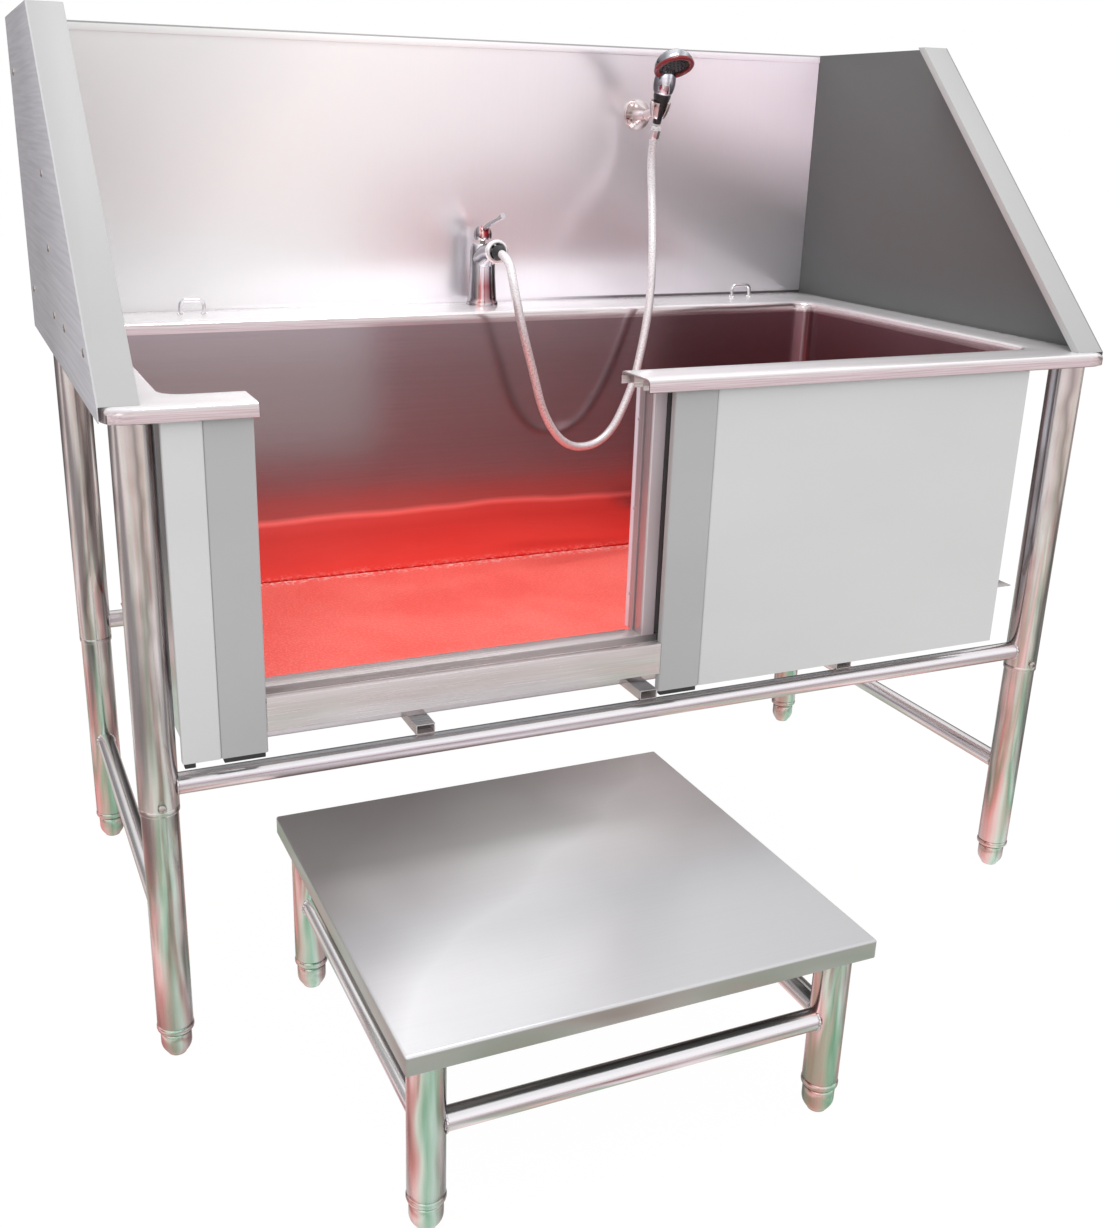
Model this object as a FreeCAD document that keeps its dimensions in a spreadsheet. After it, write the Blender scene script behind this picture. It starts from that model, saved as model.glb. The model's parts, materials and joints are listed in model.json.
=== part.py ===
import FreeCAD, Part
import math
import os
import re
import Sketcher

# A walk-in grooming bath for dogs, in stainless steel sheet and tube, with its step stool.
# Millimetres. X runs along the bath, Y from the door side to the back, Z up from the floor.
# The origin is on the floor, at the middle of the box round the bath and its stool.

doc = FreeCAD.newDocument("PetBath")
sheet_table = doc.addObject("Spreadsheet::Sheet", "Dims")

DIMENSIONS = {
    # overall
    "overall_width": (1300, "over the heads of the side screws"),
    "front_edge": (-184, "Y of the rim's front edge"),
    "back_edge": (540, "Y of the splash back's rear face"),
    "rim_height": (780, "floor to the top of the rim"),
    "overall_height": (1169, "floor to the top of the splash back"),
    "skin": (1.5, "thickness of every steel sheet"),
    "fit_gap": (0.3, "clearance between pieces that move past each other"),
    # basin and rim
    "basin_half": (576, "half the length of the basin, inside"),
    "basin_front": (-113, "Y of the basin's inner front face"),
    "basin_back": (411, "Y of the basin's inner back face"),
    "floor_top": (378, "top of the basin floor"),
    "rim_lip": (16, "depth of the rim's turned-down lip"),
    "rim_round": (7, "outer bend radius of the rim"),
    "rim_left_end": (-492, "X where the short front rim ends at the door"),
    "rim_right_end": (-45, "X where the long front rim starts"),
    "mat_thick": (8, "thickness of the rubber mat"),
    "mat_gap": (3, "play round the mat"),
    "mat_front": (-92, "Y of the mat's front edge, clear of the jamb posts"),
    "mat_hole": (60, "radius of the mat's cut-out over the drain"),
    # splash guards
    "guard_front": (-168, "Y of the side guards' lower front corner"),
    "guard_top_front": (219, "Y of the side guards' upper front corner"),
    "flange_wide": (42, "width of the guards' turned-in front flange"),
    "flange_lip": (10, "depth of the return on that flange"),
    "hem_high": (12, "height of the splash back's top hem"),
    # door side
    "panel_front": (-176, "Y of the front panels' outer face"),
    "panel_low": (388, "bottom of the front panels"),
    "panel_return": (10, "depth of the panels' side returns"),
    "panel_left_end": (-590, "X of the left panel's outer edge"),
    "post_left_in": (-548, "X where the left door strip starts"),
    "door_left": (-496, "X of the opening's left side"),
    "door_right": (-5, "X of the opening's right side"),
    "post_right_in": (52, "X where the right door strip ends"),
    "panel_right_end": (520, "X of the right panel's outer edge"),
    "sill_top_at": (452, "top of the door sill"),
    "sill_low": (412, "bottom of the sill's front plate"),
    "track_front": (-165, "Y of the door track's front face"),
    "track_back": (-141, "Y of the door track's rear face"),
    "track_deep": (11, "depth of the door track"),
    "jamb_front": (-143, "Y of the jamb posts' front face"),
    "jamb_deep": (48, "depth of the jamb posts"),
    "jamb_wide": (18, "width of the jamb posts"),
    "groove_wide": (5, "width of the seal groove in each jamb"),
    "groove_deep": (5, "depth of the seal groove in each jamb"),
    "door_start": (3, "X of the retracted door's leading edge"),
    "door_long": (514, "length of the door"),
    "door_front": (-160, "Y of the door's outer face"),
    "door_thick": (14, "thickness of the door"),
    "door_low": (458, "bottom of the door"),
    "door_high": (760, "top of the door"),
    "seal_out": (4, "how far the edge seal stands off the door"),
    "door_travel": (507, "slide of the door from open to shut"),
    "glide_long": (36, "length of the door's glides"),
    "cup_low": (600, "bottom of the door's pull cup"),
    "cup_high": (690, "top of the door's pull cup"),
    "cup_deep": (9, "depth of the door's pull cup"),
    # legs and rails
    "leg_reach": (614, "X of the leg centres"),
    "leg_front": (-143, "Y of the front legs"),
    "leg_back": (422, "Y of the back legs"),
    "leg_radius": (22.5, "outer radius of the upper leg tubes"),
    "leg_wall": (1.2, "wall of the leg and rail tubes"),
    "leg_joint": (322, "height of the joint between the leg tubes"),
    "leg_overlap": (100, "length of lower tube inside the upper one"),
    "rail_radius": (12.5, "outer radius of the rails"),
    "rail_height": (351, "height of the front and back rails"),
    "stretcher_height": (165, "height of the end stretchers"),
    "tube_end": (43, "height of the tubes' lower ends"),
    "collar_high": (8, "height of the foot collars"),
    "foot_radius": (18, "radius of the bullet feet at the top"),
    "foot_tip": (14, "radius of the bullet feet at the floor"),
    "stem_radius": (8, "radius of the foot's threaded stem"),
    "stem_long": (60, "length of the foot's threaded stem"),
    # drain
    "drain_x": (420, "X of the drain"),
    "drain_y": (150, "Y of the drain"),
    "drain_bore": (20, "radius of the waste opening"),
    "tail_radius": (20, "outer radius of the drain tailpiece"),
    "tail_low": (262, "lower end of the drain tailpiece"),
    # mixer
    "tap_x": (22, "X of the mixer"),
    "tap_y": (497, "Y of the mixer"),
    "tap_base": (23, "radius of the mixer's base"),
    "tap_top": (874, "top of the mixer's body"),
    "spout_height": (866, "height of the hose outlet"),
    "spout_end": (447, "Y where the outlet ring starts"),
    "dome_radius": (14, "radius of the handle's dome"),
    "pin_radius": (2, "radius of the cross pin that the handle tilts on"),
    "pin_reach": (11, "half the length of that pin"),
    "inlet_reach": (34, "X from the mixer to each inlet"),
    "inlet_low": (600, "lower end of the inlets"),
    "inlet_radius": (10.4, "outer radius of the inlet threads"),
    # handset and its bracket
    "hang_x": (306, "X of the handset"),
    "hang_y": (475, "Y of the hose's end at the handset"),
    "hang_z": (1052, "height of the hose's end at the handset"),
    "bracket_z": (1068, "height of the wall bracket"),
    # hose
    "hose_radius": (6.5, "outer radius of the hose"),
    # stool
    "stool_x": (-194, "X of the stool's centre"),
    "stool_y": (-290, "Y of the stool's centre"),
    "stool_wide": (534, "length of the stool's top"),
    "stool_deep": (500, "depth of the stool's top"),
    "stool_high": (233, "height of the stool's top"),
    "stool_lip": (22, "depth of the stool's turned-down edge"),
    "stool_inset": (31, "leg centres in from the stool's edges"),
    "stool_leg": (20, "outer radius of the stool's legs"),
    "stool_rail": (124, "height of the stool's rails"),
}
for row, (alias, (amount, meaning)) in enumerate(DIMENSIONS.items(), start=1):
    sheet_table.set(f"A{row}", alias)
    sheet_table.set(f"B{row}", str(amount))
    sheet_table.set(f"C{row}", meaning)
    sheet_table.setAlias(f"B{row}", alias)
doc.recompute()

ALIAS = re.compile(r"(?<![\w.])(" + "|".join(DIMENSIONS) + r")(?!\w)")
SUB_PARTS = []
EAST = FreeCAD.Vector(1, 0, 0)
NORTH = FreeCAD.Vector(0, 1, 0)
UP = FreeCAD.Vector(0, 0, 1)


def bound(text):
    """The expression with every dimension's name pointed at the sheet."""
    return ALIAS.sub(r"Dims.\1", str(text))


def worth(text):
    """The number that an expression gives now."""
    return float(sheet_table.evalExpression(bound(text)))


def size(thing, **values):
    for name, text in values.items():
        thing.setExpression(name, bound(text))
    return thing


def put(thing, point, turn=None):
    if turn is not None:
        thing.Placement = FreeCAD.Placement(FreeCAD.Vector(), turn)
    for axis, text in zip("xyz", point):
        thing.setExpression(f"Placement.Base.{axis}", bound(text))
    return thing


def keep(thing, label):
    """Marks a finished sub-part. Its label names its file."""
    thing.Label = label
    SUB_PARTS.append(thing)
    return thing


def box(name, low, high):
    piece = doc.addObject("Part::Box", name)
    spans = [f"({b}) - ({a})" for a, b in zip(low, high)]
    size(piece, Length=spans[0], Width=spans[1], Height=spans[2])
    return put(piece, low)


def rod(name, radius, length, point, along=UP):
    piece = doc.addObject("Part::Cylinder", name)
    size(piece, Radius=radius, Height=length)
    return put(piece, point, FreeCAD.Rotation(UP, along))


def cone(name, low_radius, high_radius, length, point, along=UP):
    piece = doc.addObject("Part::Cone", name)
    size(piece, Radius1=low_radius, Radius2=high_radius, Height=length)
    return put(piece, point, FreeCAD.Rotation(UP, along))


def ball(name, radius, point):
    return put(size(doc.addObject("Part::Sphere", name), Radius=radius), point)


def cut(name, base, tool):
    piece = doc.addObject("Part::Cut", name)
    piece.Base = base
    piece.Tool = tool
    piece.Refine = True
    return piece


def fuse(name, shapes):
    piece = doc.addObject("Part::MultiFuse", name)
    piece.Shapes = shapes
    piece.Refine = True
    return piece


def group(name, shapes):
    piece = doc.addObject("Part::Compound", name)
    piece.Links = shapes
    return piece


def tube(name, radius, wall, length, point, along=UP):
    outside = rod(name + "_outside", radius, length, point, along)
    inside = rod(name + "_inside", f"({radius}) - ({wall})", length, point, along)
    return cut(name, outside, inside)


def part_body(name):
    return doc.addObject("PartDesign::Body", name)


def sketch(body, role, corners, offset="0"):
    """A closed outline of straight lines on one of the body's origin planes."""
    plane = next(f for f in body.Origin.OriginFeatures if f.Role == role)
    drawn = body.newObject("Sketcher::SketchObject", body.Name + "_outline")
    drawn.AttachmentSupport = [(plane, "")]
    drawn.MapMode = "FlatFace"
    drawn.setExpression("AttachmentOffset.Base.z", bound(offset))
    points = [FreeCAD.Vector(worth(x), worth(y), 0) for x, y in corners]
    count = len(points)
    for i, point in enumerate(points):
        drawn.addGeometry(Part.LineSegment(point, points[(i + 1) % count]), False)
    for i in range(count):
        drawn.addConstraint(Sketcher.Constraint("Coincident", i, 2, (i + 1) % count, 1))
    for i, corner in enumerate(corners):
        for kind, axis, text in (("DistanceX", -2, corner[0]), ("DistanceY", -1, corner[1])):
            amount = worth(text)
            if abs(amount) < 1e-6:
                drawn.addConstraint(Sketcher.Constraint("PointOnObject", i, 1, axis))
                continue
            rule = drawn.addConstraint(Sketcher.Constraint(kind, -1, 1, i, 1, amount))
            drawn.setExpression(f"Constraints[{rule}]", bound(text))
    return drawn


def pad(body, outline, length):
    feature = body.newObject("PartDesign::Pad", body.Name + "_pad")
    feature.Profile = outline
    return size(feature, Length=length)


def turned(name, profile, point, along=UP):
    """A solid of revolution from (radius, height) corners."""
    body = part_body(name)
    outline = sketch(body, "XZ_Plane", profile)
    feature = body.newObject("PartDesign::Revolution", name + "_turn")
    feature.Profile = outline
    feature.ReferenceAxis = (outline, ["V_Axis"])
    feature.Angle = 360
    return put(body, point, FreeCAD.Rotation(UP, along))


def pressed(name, low, high, rounded, opened, radius="rim_round"):
    """A tray pressed from sheet: a block with rounded edges, hollowed through its open faces.

    rounded picks edges by their middle point and direction, opened picks faces by their
    centre, both in shares of the block from 0 to 1.
    """
    body = part_body(name)
    block = body.newObject("PartDesign::AdditiveBox", name + "_block")
    spans = [f"({b}) - ({a})" for a, b in zip(low, high)]
    size(block, Length=spans[0], Width=spans[1], Height=spans[2])
    put(body, low)
    doc.recompute()
    full = [worth(span) for span in spans]

    def shares(point):
        return tuple(point[i] / full[i] for i in range(3))

    base = block
    if rounded:
        edges = [
            f"Edge{n}"
            for n, edge in enumerate(block.Shape.Edges, start=1)
            if rounded(shares(edge.CenterOfMass))
        ]
        base = body.newObject("PartDesign::Fillet", name + "_bends")
        base.Base = (block, edges)
        size(base, Radius=radius)
        doc.recompute()
    faces = [
        f"Face{n}"
        for n, face in enumerate(base.Shape.Faces, start=1)
        if opened(shares(face.CenterOfMass)) and face.Surface.TypeId == "Part::GeomPlane"
    ]
    shell = body.newObject("PartDesign::Thickness", name + "_shell")
    shell.Base = (base, faces)
    shell.Reversed = True
    size(shell, Value="skin")
    doc.recompute()
    return body


def near(number, target):
    return abs(number - target) < 0.02


# ---------------------------------------------------------------- basin

def make_basin():
    floor = part_body("floor_plate")
    pad(floor, sketch(floor, "XY_Plane", [
        ("0", "0"), ("2 * basin_half", "0"),
        ("2 * basin_half", "basin_back - basin_front"), ("0", "basin_back - basin_front"),
    ]), "skin")
    put(floor, ("-basin_half", "basin_front", "floor_top - skin"))
    waste = rod("floor_waste", "drain_bore + 9", "3 * skin", ("drain_x", "drain_y", "floor_top - 2 * skin"))
    keep(cut("floor_with_waste", floor, waste), "basin_floor")
    wall_top = "rim_height - skin"
    low = "floor_top - skin"
    walls = [
        box("wall_back", ("-basin_half - skin", "basin_back", low),
            ("basin_half + skin", "basin_back + skin", wall_top)),
        box("wall_left", ("-basin_half - skin", "basin_front", low), ("-basin_half", "basin_back", wall_top)),
        box("wall_right", ("basin_half", "basin_front", low), ("basin_half + skin", "basin_back", wall_top)),
        box("wall_sill", ("-basin_half - skin", "basin_front - skin", low),
            ("basin_half + skin", "basin_front", "sill_top_at - skin")),
        box("wall_front_left", ("-basin_half - skin", "basin_front - skin", "sill_top_at - skin"),
            ("door_left - 2 - jamb_wide", "basin_front", wall_top)),
        box("wall_front_right", ("door_right - 11 + jamb_wide", "basin_front - skin", "sill_top_at - skin"),
            ("basin_half + skin", "basin_front", wall_top)),
    ]
    keep(group("walls", walls), "basin_walls")
    bearers = [
        tube_box(f"bearer_{n}", x) for n, x in enumerate(("-300", "0", "300"), start=1)
    ]
    keep(group("bearers", bearers), "floor_bearers")


def tube_box(name, x):
    """A square tube from the front rail to the back rail, under the basin floor."""
    low = (f"{x} - 12", "leg_front", "rail_height + rail_radius")
    high = (f"{x} + 12", "leg_back", "floor_top - skin")
    inner_low = (f"{x} - 12 + skin", "leg_front", "rail_height + rail_radius + skin")
    inner_high = (f"{x} + 12 - skin", "leg_back", "floor_top - 2 * skin")
    return cut(name, box(name + "_out", low, high), box(name + "_in", inner_low, inner_high))


def make_rim():
    outer = "overall_width / 2 - 3"
    low = "rim_height - rim_lip"

    def tray(name, x0, x1, y0, y1, rounded, opened):
        return pressed(name, (x0, y0, low), (x1, y1, "rim_height"), rounded, opened)

    long_front = tray("long_front", "rim_right_end", outer, "front_edge", "basin_front",
         lambda p: (near(p[1], 0) and near(p[2], 1)) or (near(p[0], 1) and near(p[2], 1))
         or (near(p[0], 1) and near(p[1], 0)),
         lambda p: near(p[2], 0) or near(p[1], 1) or near(p[0], 0))
    short_front = tray("short_front", f"-({outer})", "rim_left_end", "front_edge", "basin_front",
         lambda p: (near(p[1], 0) and near(p[2], 1)) or (near(p[0], 0) and near(p[2], 1))
         or (near(p[0], 0) and near(p[1], 0)) or (near(p[0], 1) and near(p[1], 0))
         or (near(p[0], 1) and near(p[2], 1)),
         lambda p: near(p[2], 0) or near(p[1], 1))
    keep(group("fronts", [long_front, short_front]), "rim_fronts")
    left = tray("left_end", f"-({outer})", "-basin_half", "basin_front", "basin_back",
         lambda p: near(p[0], 0) and near(p[2], 1),
         lambda p: near(p[2], 0) or near(p[0], 1) or near(p[1], 0) or near(p[1], 1))
    right = tray("right_end", "basin_half", outer, "basin_front", "basin_back",
         lambda p: near(p[0], 1) and near(p[2], 1),
         lambda p: near(p[2], 0) or near(p[0], 0) or near(p[1], 0) or near(p[1], 1))
    keep(group("ends", [left, right]), "rim_ends")
    deck = pressed("deck_tray", (f"-({outer})", "basin_back", low), (outer, "back_edge - skin", "rim_height"),
                   None, lambda p: near(p[2], 0) or near(p[1], 0))
    hole = rod("deck_hole", "17.5", "3 * skin", ("tap_x", "tap_y", "rim_height - 2 * skin"))
    keep(cut("rim_back_deck", deck, hole), "rim_back_deck")


# ---------------------------------------------------------------- splash guards

def make_guards():
    skin_x = "overall_width / 2 - 1.5"
    plate = box("back_plate", (f"-({skin_x}) + skin", "back_edge - skin", "rim_height - rim_lip"),
                (f"{skin_x} - skin", "back_edge", "overall_height"))
    hem = box("back_hem", (f"-({skin_x}) + skin", "back_edge - 2 * skin", "overall_height - hem_high"),
              (f"{skin_x} - skin", "back_edge - skin", "overall_height"))
    keep(fuse("back_guard", [plate, hem]), "back_splash")
    # In the side view the outline is drawn from its lowest front corner.
    run = "(guard_top_front - guard_front)"
    rise = "(overall_height - rim_height)"
    slope = f"sqrt({run} ^ 2 + {rise} ^ 2)"
    skirt = "rim_lip"
    long_side = "(back_edge - guard_front)"
    for side, sign in (("left", -1), ("right", 1)):
        guard = part_body(f"guard_{side}")
        outline = [
            ("0", "0"), (long_side, "0"), (long_side, f"{rise} + {skirt}"),
            (run, f"{rise} + {skirt}"), ("0", skirt),
        ]
        pad(guard, sketch(guard, "YZ_Plane", outline), "skin")
        strips = (("skin", "0", "flange_wide"), ("flange_lip", "flange_wide - skin", "skin"))
        for thick, start, wide in strips:
            # The strip lies inside the plate's sloping edge, and is cut level at both ends.
            across = f"{thick} * {slope} / {rise}"
            strip = [
                ("0", skirt), (across, skirt),
                (f"{run} + {across}", f"{rise} + {skirt}"), (run, f"{rise} + {skirt}"),
            ]
            pad(guard, sketch(guard, "YZ_Plane", strip, start), wide)
        if sign < 0:
            put(guard, (f"-({skin_x})", "guard_front", "rim_height - rim_lip"))
            keep(guard, "left_splash")
        else:
            mirror = doc.addObject("Part::Mirroring", "guard_right_mirrored")
            mirror.Source = guard
            mirror.Normal = EAST
            put(guard, (f"-({skin_x})", "guard_front", "rim_height - rim_lip"))
            keep(mirror, "right_splash")
    heads = []
    for side, along in (("-", EAST * -1), ("", EAST)):
        face = f"{side}(overall_width / 2 - 1.5)"
        for n, (y, z) in enumerate((("-95", "822"), ("86", "822"), ("200", "822"), ("200", "984"),
                                    ("200", "900"), ("480", "822"), ("480", "1100"))):
            name = f"head_{'w' if side else 'e'}{n}"
            heads.append(cone(name, "5", "3", "1.5", (face, y, z), along))
    return heads


# ---------------------------------------------------------------- door side

def make_front():
    top = "rim_height - skin"

    def panel(name, x0, x1, high=top):
        return pressed(name, (x0, "panel_front", "panel_low"), (x1, "panel_front + panel_return", high),
                       lambda p: near(p[1], 0) and (near(p[0], 0) or near(p[0], 1)),
                       lambda p: near(p[1], 1) or near(p[2], 1), "2.5")

    keep(group("panels", [panel("panel_short", "panel_left_end", "post_left_in"),
                          panel("panel_long", "post_right_in", "panel_right_end")]), "front_panels")
    # The left strip stops below the rim's bend, which runs down round the end of the short rim.
    keep(group("strips", [panel("strip_left", "post_left_in", "door_left", "rim_height - rim_round"),
                          panel("strip_right", "door_right", "post_right_in")]), "door_strips")
    caps = [
        box(f"cap_{n}", (x0, "panel_front + 1", "panel_low - 6"),
            (x1, "panel_front + panel_return - 1", "panel_low"))
        for n, (x0, x1) in enumerate((
            ("post_left_in + 3", "door_left - 3"), ("door_right + 3", "post_right_in - 3"),
            ("panel_left_end + 2", "panel_left_end + 14")))
    ]
    shut = "door_start - seal_out - door_travel"
    caps.append(box("stop_block", (f"{shut} - 12", "door_front + 2", "door_low"),
                    (f"{shut} - 0.5", "door_front + door_thick - 2", "door_high")))
    keep(group("rubbers", caps), "rubber_stops")
    plate = box("sill_face", ("door_left", "panel_front", "sill_low"),
                ("door_right", "panel_front + skin", "sill_top_at"))
    nose = box("sill_nose", ("door_left", "panel_front", "sill_top_at - skin"),
               ("door_right", "track_front", "sill_top_at"))
    shelf = box("sill_shelf", ("-basin_half", "track_back", "sill_top_at - skin"),
                ("basin_half", "basin_front - skin", "sill_top_at"))
    keep(group("sill", [fuse("sill_bent", [plate, nose]), shelf]), "door_sill")
    low = ("sill_top_at - track_deep", "sill_top_at")
    high = ("rim_height - rim_lip", top)
    track_left = f"{shut} - 12"
    track_right = "door_start + door_long + 6"
    # The upper track runs under the long rim only, so that the doorway stays open at the top.
    keep(group("tracks", [
        channel("track_low", track_left, track_right, low, True),
        channel("track_high", "rim_right_end + 2", track_right, high, False),
    ]), "door_tracks")
    posts = []
    for side, x0, groove_x in (
        ("left", "door_left - 2 - jamb_wide", "door_left - 2 - groove_deep"),
        ("right", "door_right - 11", "door_right - 11"),
    ):
        post = box(f"post_{side}", (x0, "jamb_front", "sill_top_at"),
                   (f"{x0} + jamb_wide", "jamb_front + jamb_deep", "rim_height - rim_lip"))
        groove = box(f"groove_{side}", (groove_x, "jamb_front + 18", "sill_top_at"),
                     (f"{groove_x} + groove_deep", "jamb_front + 18 + groove_wide", "rim_height - rim_lip"))
        posts.append(cut(f"jamb_{side}", post, groove))
    keep(group("posts", posts), "door_jambs")


def channel(name, x0, x1, heights, open_up):
    """A U-shaped track, open upwards or downwards."""
    low, high = heights
    if open_up:
        inner_low, inner_high = f"{low} + skin", high
    else:
        inner_low, inner_high = low, f"{high} - skin"
    outer = box(name + "_out", (x0, "track_front", low), (x1, "track_back", high))
    inner = box(name + "_in", (x0, "track_front + skin", inner_low), (x1, "track_back - skin", inner_high))
    return cut(name, outer, inner)


def make_door():
    far = "door_start + door_long"
    rear = "door_front + door_thick"
    inside = f"{rear} - skin"
    tray = pressed("door_tray", ("door_start", "door_front", "door_low"), (far, inside, "door_high"),
                   lambda p: near(p[1], 0), lambda p: near(p[1], 1), "2.5")
    near_x, far_x = "door_start + 20", "door_start + 56"
    window = box("cup_hole", (near_x, "door_front - 1", "cup_low"),
                 (far_x, "door_front + skin + 1", "cup_high"))
    keep(cut("door_skin_cut", tray, window), "door_skin")
    keep(box("door_back", ("door_start", inside, "door_low"), (far, rear, "door_high")), "door_liner")
    cup = box("cup_out", (near_x, "door_front", "cup_low"), (far_x, "door_front + cup_deep", "cup_high"))
    hollow = box("cup_in", (f"{near_x} + 1", "door_front", "cup_low + 1"),
                 (f"{far_x} - 1", "door_front + cup_deep - 1", "cup_high - 1"))
    keep(cut("cup", cup, hollow), "door_pull_cup")
    keep(box("seal", ("door_start - seal_out", "door_front + 2", "door_low"),
             ("door_start", f"{rear} - 2", "door_high")), "door_seal")
    # Two glides below, and one above at the far end, which never leaves the upper track.
    track_floor, track_roof = "sill_top_at - track_deep + skin + 0.5", "rim_height - skin - skin - 0.5"
    glides = [
        box(f"glide_{n}", (x, "door_front + 2", low), (f"{x} + glide_long", f"{rear} - 2", high))
        for n, (x, low, high) in enumerate((
            ("door_start", track_floor, "door_low"),
            (f"{far} - glide_long", track_floor, "door_low"),
            (f"{far} - glide_long", "door_high", track_roof)))
    ]
    keep(group("glides", glides), "door_glides")


# ---------------------------------------------------------------- legs

CORNERS = {
    "front_left": ("-leg_reach", "leg_front"),
    "front_right": ("leg_reach", "leg_front"),
    "back_left": ("-leg_reach", "leg_back"),
    "back_right": ("leg_reach", "leg_back"),
}
STOOL_CORNERS = {
    f"{row}_{side}": (f"stool_x {sx} (stool_wide / 2 - stool_inset)",
                      f"stool_y {sy} (stool_deep / 2 - stool_inset)")
    for row, sy in (("front", "-"), ("back", "+"))
    for side, sx in (("left", "-"), ("right", "+"))
}


def foot(name, x, y):
    """A bullet foot on its threaded stem."""
    shoulder = "tube_end - collar_high - fit_gap"
    return turned(name, [
        ("0", "0"), ("foot_tip - 3", "0"), ("foot_tip", "3"), ("foot_radius", "18"),
        ("foot_radius", shoulder), ("stem_radius", shoulder),
        ("stem_radius", f"{shoulder} + stem_long"), ("0", f"{shoulder} + stem_long"),
    ], (x, y, "0"))


def foot_insert(name, x, y, bore):
    """The collar and threaded plug in the end of a leg tube."""
    collar = f"{bore} + leg_wall + 0.8"
    return turned(name, [
        ("stem_radius + 0.06", "0"), (collar, "0"), (collar, "collar_high"),
        (f"{bore} - 0.05", "collar_high"), (f"{bore} - 0.05", "collar_high + 30"),
        ("stem_radius + 0.06", "collar_high + 30"),
    ], (x, y, "tube_end - collar_high"))


def make_legs():
    inner = "leg_radius - leg_wall - fit_gap"
    uppers, lowers, inserts, screws, rails = [], [], [], [], []
    for corner, (x, y) in CORNERS.items():
        uppers.append(tube(f"upper_{corner}", "leg_radius", "leg_wall", "rim_height - skin - leg_joint",
                           (x, y, "leg_joint")))
        lowers.append(tube(f"lower_{corner}", inner, "leg_wall", "leg_joint + leg_overlap - tube_end",
                           (x, y, "tube_end")))
        keep(foot(f"bullet_{corner}", x, y), f"foot_{corner}")
        inserts.append(foot_insert(f"insert_{corner}", x, y, f"{inner} - leg_wall"))
        outward = NORTH if "back" in corner else NORTH * -1
        edge = f"{y} {'+' if 'back' in corner else '-'} (leg_radius + 0.1)"
        screws.append(cone(f"grub_{corner}", "5", "3.5", "3", (x, edge, "leg_joint + 12"), outward))
    keep(group("inserts", inserts), "foot_inserts")
    keep(group("uppers", uppers), "leg_upper_tubes")
    keep(group("lowers", lowers), "leg_lower_tubes")
    reach = "leg_reach - leg_radius + 1"
    for label, y in (("front_rail", "leg_front"), ("back_rail", "leg_back")):
        start = (f"-({reach})", y, "rail_height")
        rail = tube(label + "_bar", "rail_radius", "leg_wall", f"2 * ({reach})", start, EAST)
        rails.append(coped(label, rail, [("-leg_reach", y), ("leg_reach", y)], "leg_radius"))
    span = f"leg_back - leg_front - 2 * ({inner}) + 2"
    for label, x in (("left_stretcher", "-leg_reach"), ("right_stretcher", "leg_reach")):
        start = (x, f"leg_front + ({inner}) - 1", "stretcher_height")
        rail = tube(label + "_bar", "rail_radius", "leg_wall", span, start, NORTH)
        rails.append(coped(label, rail, [(x, "leg_front"), (x, "leg_back")], inner))
    keep(group("rails", rails), "leg_rails")
    return screws


def coped(name, rail, posts, radius):
    """A rail with its ends cut to the round of the posts that it is welded to."""
    cutters = [
        rod(f"{name}_cope_{n}", f"{radius} + 0.02", "overall_height", (x, y, "0"))
        for n, (x, y) in enumerate(posts)
    ]
    return cut(name + "_coped", rail, fuse(f"{name}_copes", cutters))


# ---------------------------------------------------------------- drain and mat

def make_drain():
    place = ("drain_x", "drain_y", "0")
    flange = turned("flange", [
        ("drain_bore + 0.5", "floor_top - 14"), ("drain_bore + 8", "floor_top - 14"),
        ("drain_bore + 8", "floor_top"), ("drain_bore + 22", "floor_top"),
        ("drain_bore + 22", "floor_top + 1"), ("drain_bore + 8", "floor_top + 3"),
        ("drain_bore + 0.5", "floor_top + 3"),
    ], place)
    nut = turned("nut", [
        ("drain_bore + 8.05", "floor_top - 14"), ("drain_bore + 18", "floor_top - 14"),
        ("drain_bore + 18", "floor_top - skin - 0.05"), ("drain_bore + 8.05", "floor_top - skin - 0.05"),
    ], place)
    keep(group("waste", [flange, nut]), "drain_fittings")
    keep(turned("tail", [
        ("tail_radius - skin", "tail_low"), ("tail_radius", "tail_low"), ("tail_radius", "floor_top - 30"),
        ("drain_bore + 8", "floor_top - 22"), ("drain_bore + 8", "floor_top - 14.05"),
        ("drain_bore - 2", "floor_top - 14.05"), ("drain_bore - 2", "floor_top - 22"),
        ("tail_radius - skin", "floor_top - 30"),
    ], place), "drain_tailpiece")
    keep(turned("plug", [
        ("0", "floor_top - 6"), ("drain_bore - 1", "floor_top - 6"), ("drain_bore - 0.2", "floor_top + 3.3"),
        ("drain_bore + 4", "floor_top + 3.3"), ("drain_bore + 2", "floor_top + 8"), ("5", "floor_top + 9"),
        ("5", "floor_top + 14"), ("8", "floor_top + 17"), ("7", "floor_top + 20"), ("0", "floor_top + 20"),
    ], place), "drain_plug")
    mat = box("mat_sheet", ("-basin_half + mat_gap", "mat_front", "floor_top"),
              ("basin_half - mat_gap", "basin_back - mat_gap", "floor_top + mat_thick"))
    window = rod("mat_window", "mat_hole", "2 * mat_thick", ("drain_x", "drain_y", "floor_top - 1"))
    keep(cut("mat_cut", mat, window), "floor_mat")
    loops = []
    for name, x in (("loop_left", -434), ("loop_right", 493)):
        loops.append(tether_loop(name, x))
    keep(group("loops", loops), "tether_loops")


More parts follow.
